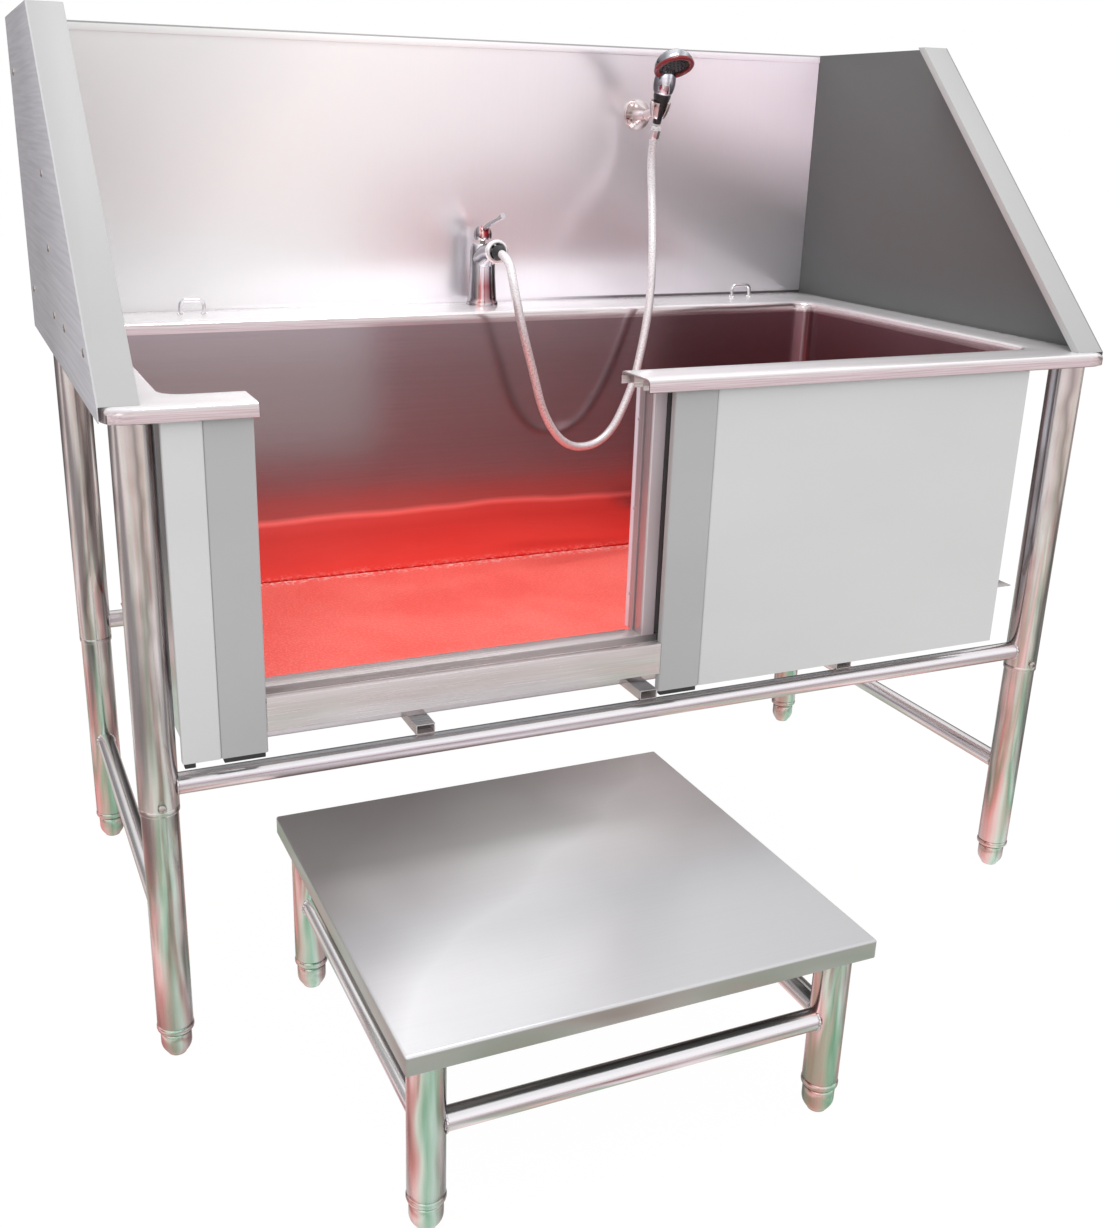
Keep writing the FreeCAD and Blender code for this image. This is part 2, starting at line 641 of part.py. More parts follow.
def tether_loop(name, x):
    """A round bar bent to a staple, standing on the back deck."""
    half, bar, high = 17, 3, 20
    y, z = "488", "rim_height"
    sides = list(enumerate((-1, 1)))
    legs = [rod(f"{name}_leg{n}", bar, high, (f"{x} + {s * half}", y, z)) for n, s in sides]
    bends = [ball(f"{name}_bend{n}", bar, (f"{x} + {s * half}", y, f"{z} + {high}")) for n, s in sides]
    top = rod(f"{name}_top", bar, 2 * half, (f"{x} - {half}", y, f"{z} + {high}"), EAST)
    return fuse(name, legs + bends + [top])


# ---------------------------------------------------------------- mixer

def make_mixer():
    place = ("tap_x", "tap_y", "0")
    column = turned("column", [
        ("0", "rim_height"), ("tap_base + 2", "rim_height"), ("tap_base + 2", "rim_height + 4"),
        ("tap_base", "rim_height + 7"), ("tap_base - 3", "rim_height + 50"), ("tap_base - 4", "tap_top - 6"),
        ("tap_base - 7", "tap_top"), ("0", "tap_top"),
    ], place)
    spout = cone("spout", "18", "14", "tap_y - spout_end", ("tap_x", "tap_y", "spout_height - 8"),
                 FreeCAD.Vector(0, -1, 0.1))
    seat = rod("cartridge_seat", "13.2", "34", ("tap_x", "tap_y", "tap_top - 30"))
    bore = rod("outlet_bore", "9", "26", ("tap_x", "spout_end - 10", "spout_height"), NORTH)
    # The spout's mouth is cut upright, so that the outlet ring seats flat on it.
    mouth = box("spout_mouth", ("tap_x - 20", "spout_end - 20", "spout_height - 25"),
                ("tap_x + 20", "spout_end", "spout_height + 25"))
    shaped = fuse("mixer_shaped", [column, spout])
    keep(cut("mixer_body", shaped, fuse("mixer_bores", [seat, bore, mouth])), "mixer_body")
    keep(rod("cartridge", "13", "29.5", ("tap_x", "tap_y", "tap_top - 29.8")), "mixer_cartridge")
    centre = "tap_top + 13"
    # The stem carries a cross pin, which the handle tilts on.
    stem = rod("stem", "4", "16.4", ("tap_x", "tap_y", "tap_top + 0.1"))
    pin = rod("cross_pin", "pin_radius", "2 * pin_reach", ("tap_x - pin_reach", "tap_y", centre), EAST)
    keep(fuse("stem_pinned", [stem, pin]), "mixer_stem")
    dome = ball("dome", "dome_radius", ("tap_x", "tap_y", centre))
    under = box("dome_under", ("tap_x - 20", "tap_y - 20", "tap_top - 20"),
                ("tap_x + 20", "tap_y + 20", "tap_top + 4"))
    cavity = rod("dome_cavity", "8", "16", ("tap_x", "tap_y", "tap_top + 3"))
    eye_start = ("tap_x - pin_reach - 0.5", "tap_y", centre)
    eye = rod("dome_eye", "pin_radius + 0.15", "2 * pin_reach + 1", eye_start, EAST)
    lever = rod("lever_bar", "3", "74", ("tap_x", "tap_y - 11", f"{centre} + 7"), FreeCAD.Vector(0, -72, 27))
    tip = ball("lever_tip", "4.5", ("tap_x", "tap_y - 11 - 69.3", f"{centre} + 7 + 26"))
    solid = fuse("handle_solid", [dome, lever, tip])
    keep(cut("handle", solid, fuse("handle_hollow", [under, cavity, eye])), "mixer_handle")
    keep(tube("ring", "18", "6", "13", ("tap_x", "spout_end - 13", "spout_height"), NORTH), "outlet_ring")
    shank = tube("shank", "16.5", "4", "52", ("tap_x", "tap_y", "rim_height - 52"))
    lock = tube("lock", "26", "9.45", "9", ("tap_x", "tap_y", "rim_height - skin - 9.1"))
    keep(group("fixings", [shank, lock]), "mixer_fixings")
    inlets = []
    for n, s in enumerate((-1, 1)):
        inlets.append(inlet(f"inlet_{n}", s))
    keep(group("inlets", inlets), "mixer_inlets")


def inlet(name, side):
    """A bent copper tail with a threaded end, from the shank's foot out to one side."""
    bend_high, bend_low, bar = "rim_height - 62", "rim_height - 112", "5"
    near_x, far_x = f"tap_x + {side} * 6", f"tap_x + {side} * inlet_reach"
    drop = worth(bend_high) - worth(bend_low)
    out = side * (worth("inlet_reach") - 6)
    slant = FreeCAD.Vector(out, 0, -drop)
    slant_long = "sqrt(50 ^ 2 + (inlet_reach - 6) ^ 2)"
    pieces = [
        rod(f"{name}_top", bar, "60", (near_x, "tap_y", bend_high)),
        ball(f"{name}_bend", bar, (near_x, "tap_y", bend_high)),
        rod(f"{name}_slant", bar, slant_long, (near_x, "tap_y", bend_high), slant),
        ball(f"{name}_elbow", bar, (far_x, "tap_y", bend_low)),
        rod(f"{name}_drop", bar, f"{bend_low} - inlet_low - 24", (far_x, "tap_y", "inlet_low + 24")),
        rod(f"{name}_thread", "inlet_radius", "24", (far_x, "tap_y", "inlet_low")),
    ]
    return fuse(name, pieces)


# ---------------------------------------------------------------- handset

LEAN = FreeCAD.Vector(0, -0.3, 0.95)
FACE_OUT = FreeCAD.Vector(0, -0.47, -0.88)


def along_lean(distance):
    """A point on the handset's axis, as expressions."""
    unit = FreeCAD.Vector(LEAN).normalize()
    return ("hang_x", f"hang_y + {round(unit.y * distance, 4)}", f"hang_z + {round(unit.z * distance, 4)}")


def make_handset():
    keep(turned("grip", [
        ("0", "4"), ("6.2", "4"), ("7", "14"), ("12", "38"), ("13.5", "46"), ("13", "50"), ("0", "50"),
    ], ("hang_x", "hang_y", "hang_z"), LEAN), "handset_grip")
    head = along_lean(98)
    unit = FreeCAD.Vector(FACE_OUT).normalize()

    def out_of_face(distance):
        ahead, down = round(unit.y * distance, 4), round(unit.z * distance, 4)
        return (head[0], f"{head[1]} - 14 + {ahead}", f"{head[2]} - 2 + {down}")

    neck = turned("neck", [
        ("0", "50.05"), ("13.5", "50.05"), ("16.5", "58"), ("17", "68"), ("14", "80"), ("9", "88"),
        ("0", "92"),
    ], ("hang_x", "hang_y", "hang_z"), LEAN)
    face_clear = rod("face_clear", "31.1", "30", out_of_face(6), FACE_OUT)
    keep(cut("neck_cut", neck, face_clear), "handset_body")
    shell = turned("head_shell", [
        ("0", "0"), ("14", "1"), ("25", "7"), ("30", "16"), ("30", "22"), ("0", "22"),
    ], out_of_face(-16), FACE_OUT)
    clear = rod("neck_clear", "17.3", "24", along_lean(68), LEAN)
    keep(cut("head_cut", shell, clear), "handset_head")
    keep(tube("red_ring", "31", "8", "5", out_of_face(6.05), FACE_OUT), "spray_ring")
    keep(rod("nozzles", "22.9", "3.5", out_of_face(6.05), FACE_OUT), "spray_face")
    wall = "back_edge - skin"
    keep(turned("bracket", [
        ("0", "0"), ("23", "0"), ("23", "3"), ("16", "12"), ("10", "24"), ("9", "36"), ("0", "36"),
    ], ("hang_x - 2", wall, "bracket_z"), NORTH * -1), "bracket_base")
    cup_at = along_lean(12)
    cup = cone("cup_out_cone", "14.5", "18.5", "26", cup_at, LEAN)
    cup_bore = cone("cup_bore", "7.4", "13", "26.2", cup_at, LEAN)
    mouth = box("cup_mouth", ("hang_x - 8", "hang_y - 50", "hang_z - 20"),
                ("hang_x + 8", "hang_y - 6", "hang_z + 60"))
    arm = box("cradle_arm", ("hang_x - 9", "hang_y + 8", "bracket_z - 7"),
              ("hang_x + 5", f"{wall} - 36.05", "bracket_z + 7"))
    solid = fuse("cradle_solid", [cup, arm])
    keep(cut("cradle", solid, fuse("cradle_voids", [cup_bore, mouth])), "bracket_cradle")


# ---------------------------------------------------------------- hose

# The hose's route, in order from the mixer's outlet to the handset. Each point is a corner
# that an arc rounds off. The last run lies along the handset's axis.
HOSE_ROUTE = [
    (22, 432, 866), (22, 390, 861), (12, 346, 823), (23, 336, 761), (42, 341, 705), (66, 343, 623),
    (112, 346, 571), (183, 355, 580), (228, 365, 661), (246, 374, 721), (264, 387, 792), (277, 412, 861),
    (290, 442, 909), (302, 471, 954), (306, 488.852, 1008.135), (306, 475, 1052),
]


def hose_path(points):
    """Straight runs joined by tangent arcs, each arc as large as its two runs allow."""
    corners = [FreeCAD.Vector(*p) for p in points]
    edges, start, length, radii = [], corners[0], 0.0, []
    for before, corner, after in zip(corners, corners[1:], corners[2:]):
        back = (before - corner).normalize()
        ahead = (after - corner).normalize()
        turn = math.pi - back.getAngle(ahead)
        reach = 0.45 * min((before - corner).Length, (after - corner).Length)
        radius = reach / math.tan(turn / 2)
        radii.append(radius)
        enter, leave = corner + back * reach, corner + ahead * reach
        middle = (back + ahead).normalize()
        centre_gap = radius / math.cos(turn / 2)
        on_arc = corner + middle * (centre_gap - radius)
        edges.append(Part.LineSegment(start, enter).toShape())
        edges.append(Part.Arc(enter, on_arc, leave).toShape())
        length += (enter - start).Length + radius * turn
        start = leave
    edges.append(Part.LineSegment(start, corners[-1]).toShape())
    length += (corners[-1] - start).Length
    return Part.Wire(edges), length, radii


def make_hose():
    path, length, radii = hose_path(HOSE_ROUTE)
    radius = worth("hose_radius")
    first = (FreeCAD.Vector(*HOSE_ROUTE[1]) - FreeCAD.Vector(*HOSE_ROUTE[0])).normalize()
    section = Part.Wire([Part.makeCircle(radius, FreeCAD.Vector(*HOSE_ROUTE[0]), first)])
    swept = path.makePipeShell([section], True, True)
    expected = math.pi * radius ** 2 * length
    print("hose length", round(length, 1), "radii", [round(r) for r in radii])
    print("hose volume over section times length", round(swept.Volume / expected, 5))
    hose = doc.addObject("Part::Feature", "hose_tube")
    hose.Shape = swept
    keep(hose, "shower_hose")
    down = (FreeCAD.Vector(*HOSE_ROUTE[-2]) - FreeCAD.Vector(*HOSE_ROUTE[-1])).normalize()
    for label, point, direction, back, mouth in (
        ("hose_nut_mixer", HOSE_ROUTE[0], first, 1.5, 11.6),
        ("hose_nut_handset", HOSE_ROUTE[-1], down, -4, 9.2),
    ):
        place = FreeCAD.Vector(*point)
        outer = Part.makeCone(mouth, 7.6, 16, place - direction * back, direction)
        inner = Part.makeCylinder(radius + 0.05, 20, place - direction * (back + 2), direction)
        nut = doc.addObject("Part::Feature", label + "_turned")
        nut.Shape = outer.cut(inner)
        keep(nut, label)


# ---------------------------------------------------------------- stool

def make_stool():
    half_w, half_d = "stool_wide / 2", "stool_deep / 2"
    keep(pressed("step_top", (f"stool_x - {half_w}", f"stool_y - {half_d}", "stool_high - stool_lip"),
                 (f"stool_x + {half_w}", f"stool_y + {half_d}", "stool_high"),
                 lambda p: near(p[2], 1) or (near(p[2], 0.5) and not near(p[0], 0.5) and not near(p[1], 0.5)),
                 lambda p: near(p[2], 0), "3"), "stool_top")
    legs, inserts, rails = [], [], []
    for corner, (x, y) in STOOL_CORNERS.items():
        legs.append(tube(f"stool_tube_{corner}", "stool_leg", "leg_wall", "stool_high - skin - tube_end",
                         (x, y, "tube_end")))
        keep(foot(f"stool_bullet_{corner}", x, y), f"stool_foot_{corner}")
        inserts.append(foot_insert(f"stool_insert_{corner}", x, y, "stool_leg - leg_wall"))
    keep(group("stool_plugs", inserts), "stool_foot_inserts")
    keep(group("stool_tubes", legs), "stool_legs")
    left, right = (f"stool_x {s} ({half_w} - stool_inset)" for s in "-+")
    front, back = (f"stool_y {s} ({half_d} - stool_inset)" for s in "-+")
    along, across = f"({right}) - ({left}) - 2 * stool_leg + 2", f"({back}) - ({front}) - 2 * stool_leg + 2"
    for label, y in (("front", front), ("back", back)):
        bar = tube(f"stool_bar_{label}", "rail_radius", "leg_wall", along,
                   (f"{left} + stool_leg - 1", y, "stool_rail"), EAST)
        rails.append(coped(f"stool_rail_{label}", bar, [(left, y), (right, y)], "stool_leg"))
    for label, x in (("left", left), ("right", right)):
        bar = tube(f"stool_bar_{label}", "rail_radius", "leg_wall", across,
                   (x, f"{front} + stool_leg - 1", "stool_rail"), NORTH)
        rails.append(coped(f"stool_rail_{label}", bar, [(x, front), (x, back)], "stool_leg"))
    keep(group("stool_bars", rails), "stool_rails")


make_basin()
make_rim()
make_front()
make_door()
keep(group("screws", make_guards() + make_legs()), "case_screws")
make_drain()
make_mixer()
make_handset()
make_hose()
make_stool()
doc.recompute()

for thing in doc.Objects:
    if "Invalid" in thing.State or "Error" in thing.State:
        raise RuntimeError(f"{thing.Name} failed: {thing.State}")
for thing in SUB_PARTS:
    if thing.Shape.isNull() or not thing.Shape.isValid() or not thing.Shape.Solids:
        raise RuntimeError(f"{thing.Label} has no valid solid")

os.makedirs("parts", exist_ok=True)
for thing in SUB_PARTS:
    thing.Shape.exportStep(os.path.join("parts", thing.Label + ".step"))
print(len(SUB_PARTS), "sub-parts")
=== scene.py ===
import json
import math
import random

import bmesh
import bpy
from mathutils import Matrix, Vector


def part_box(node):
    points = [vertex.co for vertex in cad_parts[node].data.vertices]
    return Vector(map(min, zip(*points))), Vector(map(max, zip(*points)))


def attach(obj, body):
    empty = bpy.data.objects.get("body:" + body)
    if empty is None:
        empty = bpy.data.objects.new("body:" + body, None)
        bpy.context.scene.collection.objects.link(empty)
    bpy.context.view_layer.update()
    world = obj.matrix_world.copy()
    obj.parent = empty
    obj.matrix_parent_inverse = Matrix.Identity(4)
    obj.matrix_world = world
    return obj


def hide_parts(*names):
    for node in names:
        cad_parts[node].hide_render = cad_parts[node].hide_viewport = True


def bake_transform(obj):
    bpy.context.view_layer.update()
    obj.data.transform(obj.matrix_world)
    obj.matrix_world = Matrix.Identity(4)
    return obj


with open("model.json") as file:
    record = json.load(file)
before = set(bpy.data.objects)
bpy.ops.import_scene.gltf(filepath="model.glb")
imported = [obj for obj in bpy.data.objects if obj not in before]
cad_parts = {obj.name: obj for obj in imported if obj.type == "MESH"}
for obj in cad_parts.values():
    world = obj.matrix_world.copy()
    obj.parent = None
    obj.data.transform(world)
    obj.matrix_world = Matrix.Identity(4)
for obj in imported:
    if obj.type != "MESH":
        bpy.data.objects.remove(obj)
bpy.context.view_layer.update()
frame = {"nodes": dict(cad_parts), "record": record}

# A walk-in grooming bath: brushed and polished stainless steel, a red rubber mat, a chrome
# mixer with a hand shower on a hose, and a step stool. Metres, in the frame of the CAD model.

random.seed(7)
X, Y, Z = Vector((1, 0, 0)), Vector((0, 1, 0)), Vector((0, 0, 1))


# ---------------------------------------------------------------- places read from the frame

def low(node):
    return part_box(node)[0]


def high(node):
    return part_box(node)[1]


def middle(node):
    return (low(node) + high(node)) / 2


RIM_TOP = high("rim_fronts").z
RIM_LOW = low("rim_fronts").z
RIM_FRONT = low("rim_fronts").y
RIM_SIDE = high("rim_fronts").x
BASIN_SIDE = high("basin_floor").x
BASIN_FRONT = low("basin_floor").y
BASIN_BACK = high("basin_floor").y
FLOOR_TOP = high("basin_floor").z
SILL_TOP = high("door_sill").z
GUARD_TOP = high("back_splash").z
TAP = Vector((middle("outlet_ring").x, 0.497, RIM_TOP))
TAP_CENTRE_Z = 0.887


# ---------------------------------------------------------------- camera

CAMERA_AT = Vector((-0.7924, -1.5305, 1.0476))
CAMERA_YAW = 0.4109
CAMERA_PITCH = 0.3444
CAMERA_ROLL = -0.0226
CAMERA_LENS = 39.73


def make_camera():
    data = bpy.data.cameras.new("camera")
    data.sensor_width = 36
    data.lens = CAMERA_LENS
    data.shift_x = 0.0355
    data.shift_y = -0.0018
    data.clip_end = 50
    camera = bpy.data.objects.new("camera", data)
    bpy.context.scene.collection.objects.link(camera)
    ahead = Vector((math.sin(CAMERA_YAW) * math.cos(CAMERA_PITCH),
                    math.cos(CAMERA_YAW) * math.cos(CAMERA_PITCH), -math.sin(CAMERA_PITCH)))
    level_right = Vector((math.cos(CAMERA_YAW), -math.sin(CAMERA_YAW), 0))
    level_down = ahead.cross(level_right)
    right = math.cos(CAMERA_ROLL) * level_right + math.sin(CAMERA_ROLL) * level_down
    down = -math.sin(CAMERA_ROLL) * level_right + math.cos(CAMERA_ROLL) * level_down
    turn = Matrix((right, -down, -ahead)).transposed().to_4x4()
    camera.matrix_world = Matrix.Translation(CAMERA_AT) @ turn
    bpy.context.scene.camera = camera
    return camera


make_camera()


# ---------------------------------------------------------------- mesh helpers

def link(name, mesh, smooth=True):
    piece = bpy.data.objects.new(name, mesh)
    bpy.context.scene.collection.objects.link(piece)
    if smooth:
        for polygon in mesh.polygons:
            polygon.use_smooth = True
    return piece


def from_points(name, points, faces, smooth=True):
    mesh = bpy.data.meshes.new(name)
    mesh.from_pydata([tuple(p) for p in points], [], faces)
    mesh.update()
    return link(name, mesh, smooth)


def frame_across(direction):
    """Two unit vectors square to a direction."""
    side = direction.cross(Z if abs(direction.z) < 0.9 else X).normalized()
    return side, direction.cross(side).normalized()


def spoke(side, up, angle):
    """The unit vector at an angle, counted from side towards up."""
    return side * math.cos(angle) + up * math.sin(angle)


def rings_to_mesh(name, rings, close_ends=True, closed_loop=False, smooth=True):
    """Joins rings of equal length, in order, into one closed skin."""
    count = len(rings[0])
    points = [p for ring in rings for p in ring]
    faces = []
    turns = len(rings) if closed_loop else len(rings) - 1
    for i in range(turns):
        a, b = i * count, ((i + 1) % len(rings)) * count
        faces += [(a + k, a + (k + 1) % count, b + (k + 1) % count, b + k) for k in range(count)]
    if close_ends and not closed_loop:
        faces.append(tuple(reversed(range(count))))
        faces.append(tuple(range(len(points) - count, len(points))))
    return from_points(name, points, faces, smooth)


def mm(*rows):
    """A profile written in millimetres, in metres."""
    return [(radius / 1000, height / 1000) for radius, height in rows]


def revolve(name, profile, at=Vector(), along=Z, steps=48):
    """A turned piece from (radius, height) corners; it closes on its axis or on itself."""
    side, up = frame_across(along.normalized())
    along = along.normalized()
    spokes = [spoke(side, up, 2 * math.pi * k / steps) for k in range(steps)]
    rings = [[at + along * height + ray * max(radius, 1e-5) for ray in spokes] for radius, height in profile]
    piece = rings_to_mesh(name, rings)
    fix_normals(piece)
    return piece


def fix_normals(piece):
    mesh = bmesh.new()
    mesh.from_mesh(piece.data)
    bmesh.ops.remove_doubles(mesh, verts=mesh.verts, dist=2e-5)
    bmesh.ops.recalc_face_normals(mesh, faces=mesh.faces)
    mesh.to_mesh(piece.data)
    mesh.free()


def close_ring(piece):
    """Turns the two flat end caps of a revolved ring into one skin round its bore."""
    mesh = bmesh.new()
    mesh.from_mesh(piece.data)
    caps = sorted(mesh.faces, key=lambda f: len(f.verts))[-2:]
    bmesh.ops.delete(mesh, geom=caps, context="FACES_ONLY")
    edges = [e for e in mesh.edges if len(e.link_faces) == 1]
    bmesh.ops.bridge_loops(mesh, edges=edges)
    bmesh.ops.recalc_face_normals(mesh, faces=mesh.faces)
    mesh.to_mesh(piece.data)
    mesh.free()
    return piece


def sweep(name, path, radius, sides=20):
    """A round bar along a line of points. radius is a number, or a function of the share done."""
    side, up = frame_across((path[1] - path[0]).normalized())
    rings = []
    for i, point in enumerate(path):
        ahead = (path[min(i + 1, len(path) - 1)] - path[max(i - 1, 0)]).normalized()
        side = (side - ahead * side.dot(ahead)).normalized()
        up = ahead.cross(side)
        share = i / (len(path) - 1)
        thick = radius(share) if callable(radius) else radius
        rings.append([point + spoke(side, up, 2 * math.pi * k / sides) * thick for k in range(sides)])
    piece = rings_to_mesh(name, rings)
    fix_normals(piece)
    return piece


def sharpen(piece, degrees=32):
    """Smooth shading, with hard edges kept where two faces meet at a larger angle."""
    mesh = bmesh.new()
    mesh.from_mesh(piece.data)
    for face in mesh.faces:
        face.smooth = True
    limit = math.radians(degrees)
    for edge in mesh.edges:
        edge.smooth = len(edge.link_faces) == 2 and edge.calc_face_angle(0) < limit
    mesh.to_mesh(piece.data)
    mesh.free()
    return piece


def apply_modifiers(piece):
    graph = bpy.context.evaluated_depsgraph_get()
    mesh = bpy.data.meshes.new_from_object(piece.evaluated_get(graph))
    piece.modifiers.clear()
    piece.data = mesh
    return piece


def bevelled(piece, width, segments=3, degrees=35):
    bevel = piece.modifiers.new("bevel", "BEVEL")
    bevel.width = width
    bevel.segments = segments
    bevel.limit_method = "ANGLE"
    bevel.angle_limit = math.radians(degrees)
    return sharpen(apply_modifiers(piece))


def joined(name, pieces):
    """Several meshes made into one piece."""
    mesh = bmesh.new()
    for piece in pieces:
        data = piece.data.copy()
        data.transform(piece.matrix_world)
        mesh.from_mesh(data)
        bpy.data.meshes.remove(data)
    for piece in pieces:
        bpy.data.objects.remove(piece)
    data = bpy.data.meshes.new(name)
    mesh.to_mesh(data)
    mesh.free()
    return link(name, data, smooth=False)


def settle(piece, body, slot, *nodes, finish=None):
    """Gives a new piece its body and the material of its finish or record slot, and hides the nodes it stands
    for.
    """
    piece.data.materials.clear()
    piece.data.materials.append(MATERIALS[finish or slot])
    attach(piece, body)
    if nodes:
        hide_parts(*nodes)
    return piece


# ---------------------------------------------------------------- node graph helpers

class Graph:
    """A node tree, of a new material or of the world, with short calls for the nodes used here."""

    def __init__(self, name=None, world=None):
        if world:
            self.tree = world.node_tree
        else:
            self.material = bpy.data.materials.new(name)
            self.material.use_nodes = True
            self.tree = self.material.node_tree
            self.shader = self.tree.nodes["Principled BSDF"]
        self.place = self.node("ShaderNodeTexCoord").outputs["Generated" if world else "Object"]

    def node(self, kind, **settings):
        made = self.tree.nodes.new(kind)
        for name, value in settings.items():
            setattr(made, name, value)
        return made

    def feed(self, socket, value):
        if isinstance(value, bpy.types.NodeSocket):
            self.tree.links.new(value, socket)
        else:
            socket.default_value = value

    def stretched(self, scale, source=None):
        mapping = self.node("ShaderNodeMapping")
        self.feed(mapping.inputs["Vector"], source or self.place)
        mapping.inputs["Scale"].default_value = scale
        return mapping.outputs["Vector"]

    def noise(self, scale, vector, detail=3.0, rough=0.5, spread=0.0):
        made = self.node("ShaderNodeTexNoise")
        self.feed(made.inputs["Vector"], vector)
        made.inputs["Scale"].default_value = scale
        made.inputs["Detail"].default_value = detail
        made.inputs["Roughness"].default_value = rough
        made.inputs["Distortion"].default_value = spread
        return made.outputs["Fac"]

    def ramp(self, value, stops):
        """Colours along a value. Each stop is a place and then red, green and blue, all in percent."""
        made = self.node("ShaderNodeValToRGB")
        self.feed(made.inputs["Fac"], value)
        elements = made.color_ramp.elements
        while len(elements) < len(stops):
            elements.new(0.5)
        for element, (place, *colour) in zip(elements, stops):
            element.position = place / 100
            element.color = (*(part / 100 for part in colour), 1)
        return made.outputs["Color"]

    def span(self, value, low_in, high_in, low_out, high_out):
        made = self.node("ShaderNodeMapRange")
        self.feed(made.inputs["Value"], value)
        limits = {"From Min": low_in, "From Max": high_in, "To Min": low_out, "To Max": high_out}
        for name, number in limits.items():
            made.inputs[name].default_value = number
        return made.outputs["Result"]

    def spread(self, noise, low_out, high_out):
        """Stretches the middle of a noise's range, where most of its values lie."""
        return self.span(noise, 0.3, 0.7, low_out, high_out)

    def mix(self, share, one, two, kind="MIX"):
        made = self.node("ShaderNodeMix", data_type="RGBA", blend_type=kind)
        self.feed(made.inputs[0], share)
        self.feed(made.inputs[6], one if isinstance(one, bpy.types.NodeSocket) else (*one, 1))
        self.feed(made.inputs[7], two if isinstance(two, bpy.types.NodeSocket) else (*two, 1))
        return made.outputs[2]

    def sum(self, one, two, kind="ADD"):
        made = self.node("ShaderNodeMath", operation=kind)
        self.feed(made.inputs[0], one)
        self.feed(made.inputs[1], two)
        return made.outputs[0]

    def axis(self, name, source=None):
        made = self.node("ShaderNodeSeparateXYZ")
        self.feed(made.inputs[0], source or self.place)
        return made.outputs[name]

    def seen_in_steel(self):
        return self.node("ShaderNodeLightPath").outputs["Is Glossy Ray"]

    def times(self, one, two):
        return self.sum(one, two, "MULTIPLY")

    def bump(self, height, strength, distance, under=None):
        made = self.node("ShaderNodeBump")
        self.feed(made.inputs["Height"], height)
        made.inputs["Strength"].default_value = strength
        made.inputs["Distance"].default_value = distance
        if under is not None:
            self.feed(made.inputs["Normal"], under)
        return made.outputs["Normal"]

    def done(self, **values):
        for name, value in values.items():
            socket = self.shader.inputs[name.replace("_", " ")]
            if isinstance(value, tuple) and len(value) == 3:
                value = (*value, 1)
            self.feed(socket, value)
        return self.material


def brushed(name, colour, rough, grain=(2, 60, 400), tint=None, strength=0.15, blotch=0.06, metal=1.0):
    """Brushed sheet: fine streaks along one axis, with slow changes of gloss and tint."""
    g = Graph(name)
    streaks = g.noise(4.0, g.stretched(grain), detail=6.0, rough=0.65)
    clouds = g.noise(3.0, g.place, detail=3.0)
    light = tuple(min(1.0, c * (1 + blotch)) for c in colour)
    dark = tuple(c * (1 - blotch) for c in (tint or colour))
    base = g.mix(g.spread(streaks, 0, 1), dark, light)
    base = g.mix(g.span(clouds, 0.35, 0.65, 0, 0.5), base, tint or colour)
    roughness = g.sum(g.spread(streaks, rough - 0.06, rough + 0.06),
                      g.spread(clouds, -0.03, 0.03))
    normal = g.bump(streaks, strength, 0.0006)
    return g.done(Base_Color=base, Metallic=metal, Roughness=roughness, Normal=normal)


def film_shade(g, colour):
    """The slightly uneven tone of matt protective film."""
    wipes = g.noise(2.2, g.stretched((1.0, 1.0, 2.5)), detail=4.0)
    specks = g.noise(260.0, g.place, detail=2.0)
    dark, light = tuple(c * 0.97 for c in colour), tuple(min(1, c * 1.03) for c in colour)
    base = g.mix(g.spread(wipes, 0, 1), dark, light)
    return g.mix(g.span(specks, 0.35, 0.65, 0, 0.06), base, tuple(c * 0.9 for c in colour)), wipes


def satin_film(name, colour, rough=0.5):
    """Steel sheet under its matt protective film: nearly even, with faint wipes and ripples."""
    g = Graph(name)
    base, wipes = film_shade(g, colour)
    g.shader.inputs["Specular IOR Level"].default_value = 0.25
    return g.done(Base_Color=base, Roughness=g.spread(wipes, rough - 0.05, rough + 0.06),
                  Normal=g.bump(wipes, 0.12, 0.002))


def guard_sheet(name, side, inner, flange):
    """A side guard: film on its inner face and on its flange, and bare polished steel outside. Seen in other
    steel, its inner face has painted light high up.
    """
    g = Graph(name)
    reach = g.times(g.axis("X"), side)
    inner_face, wipes = film_shade(g, inner)
    flange_face, _ = film_shade(g, flange)
    # Painted light: in reflections the inner face turns near white high up.
    painted_light_high_up = g.times(g.seen_in_steel(), g.span(g.axis("Z"), 0.90, 1.04, 0.0, 1.0))
    inner_face = g.mix(painted_light_high_up, inner_face, (1.0, 0.95, 1.0))
    film = g.mix(g.span(reach, 0.6464, 0.6466, 0, 1), flange_face, inner_face)
    lines = g.noise(1.0, g.stretched((3, 5, 220)), detail=4.0)
    steel = g.mix(g.spread(lines, 0, 1), (0.66, 0.64, 0.68), (0.80, 0.78, 0.83))
    outside = g.span(reach, 0.6478, 0.6480, 0, 1)
    g.shader.inputs["Specular IOR Level"].default_value = 0.25
    return g.done(Base_Color=g.mix(outside, film, steel), Metallic=g.span(outside, 0, 1, 0.0, 0.35),
                  Roughness=g.span(outside, 0, 1, 0.5, 0.22), Normal=g.bump(wipes, 0.08, 0.001))


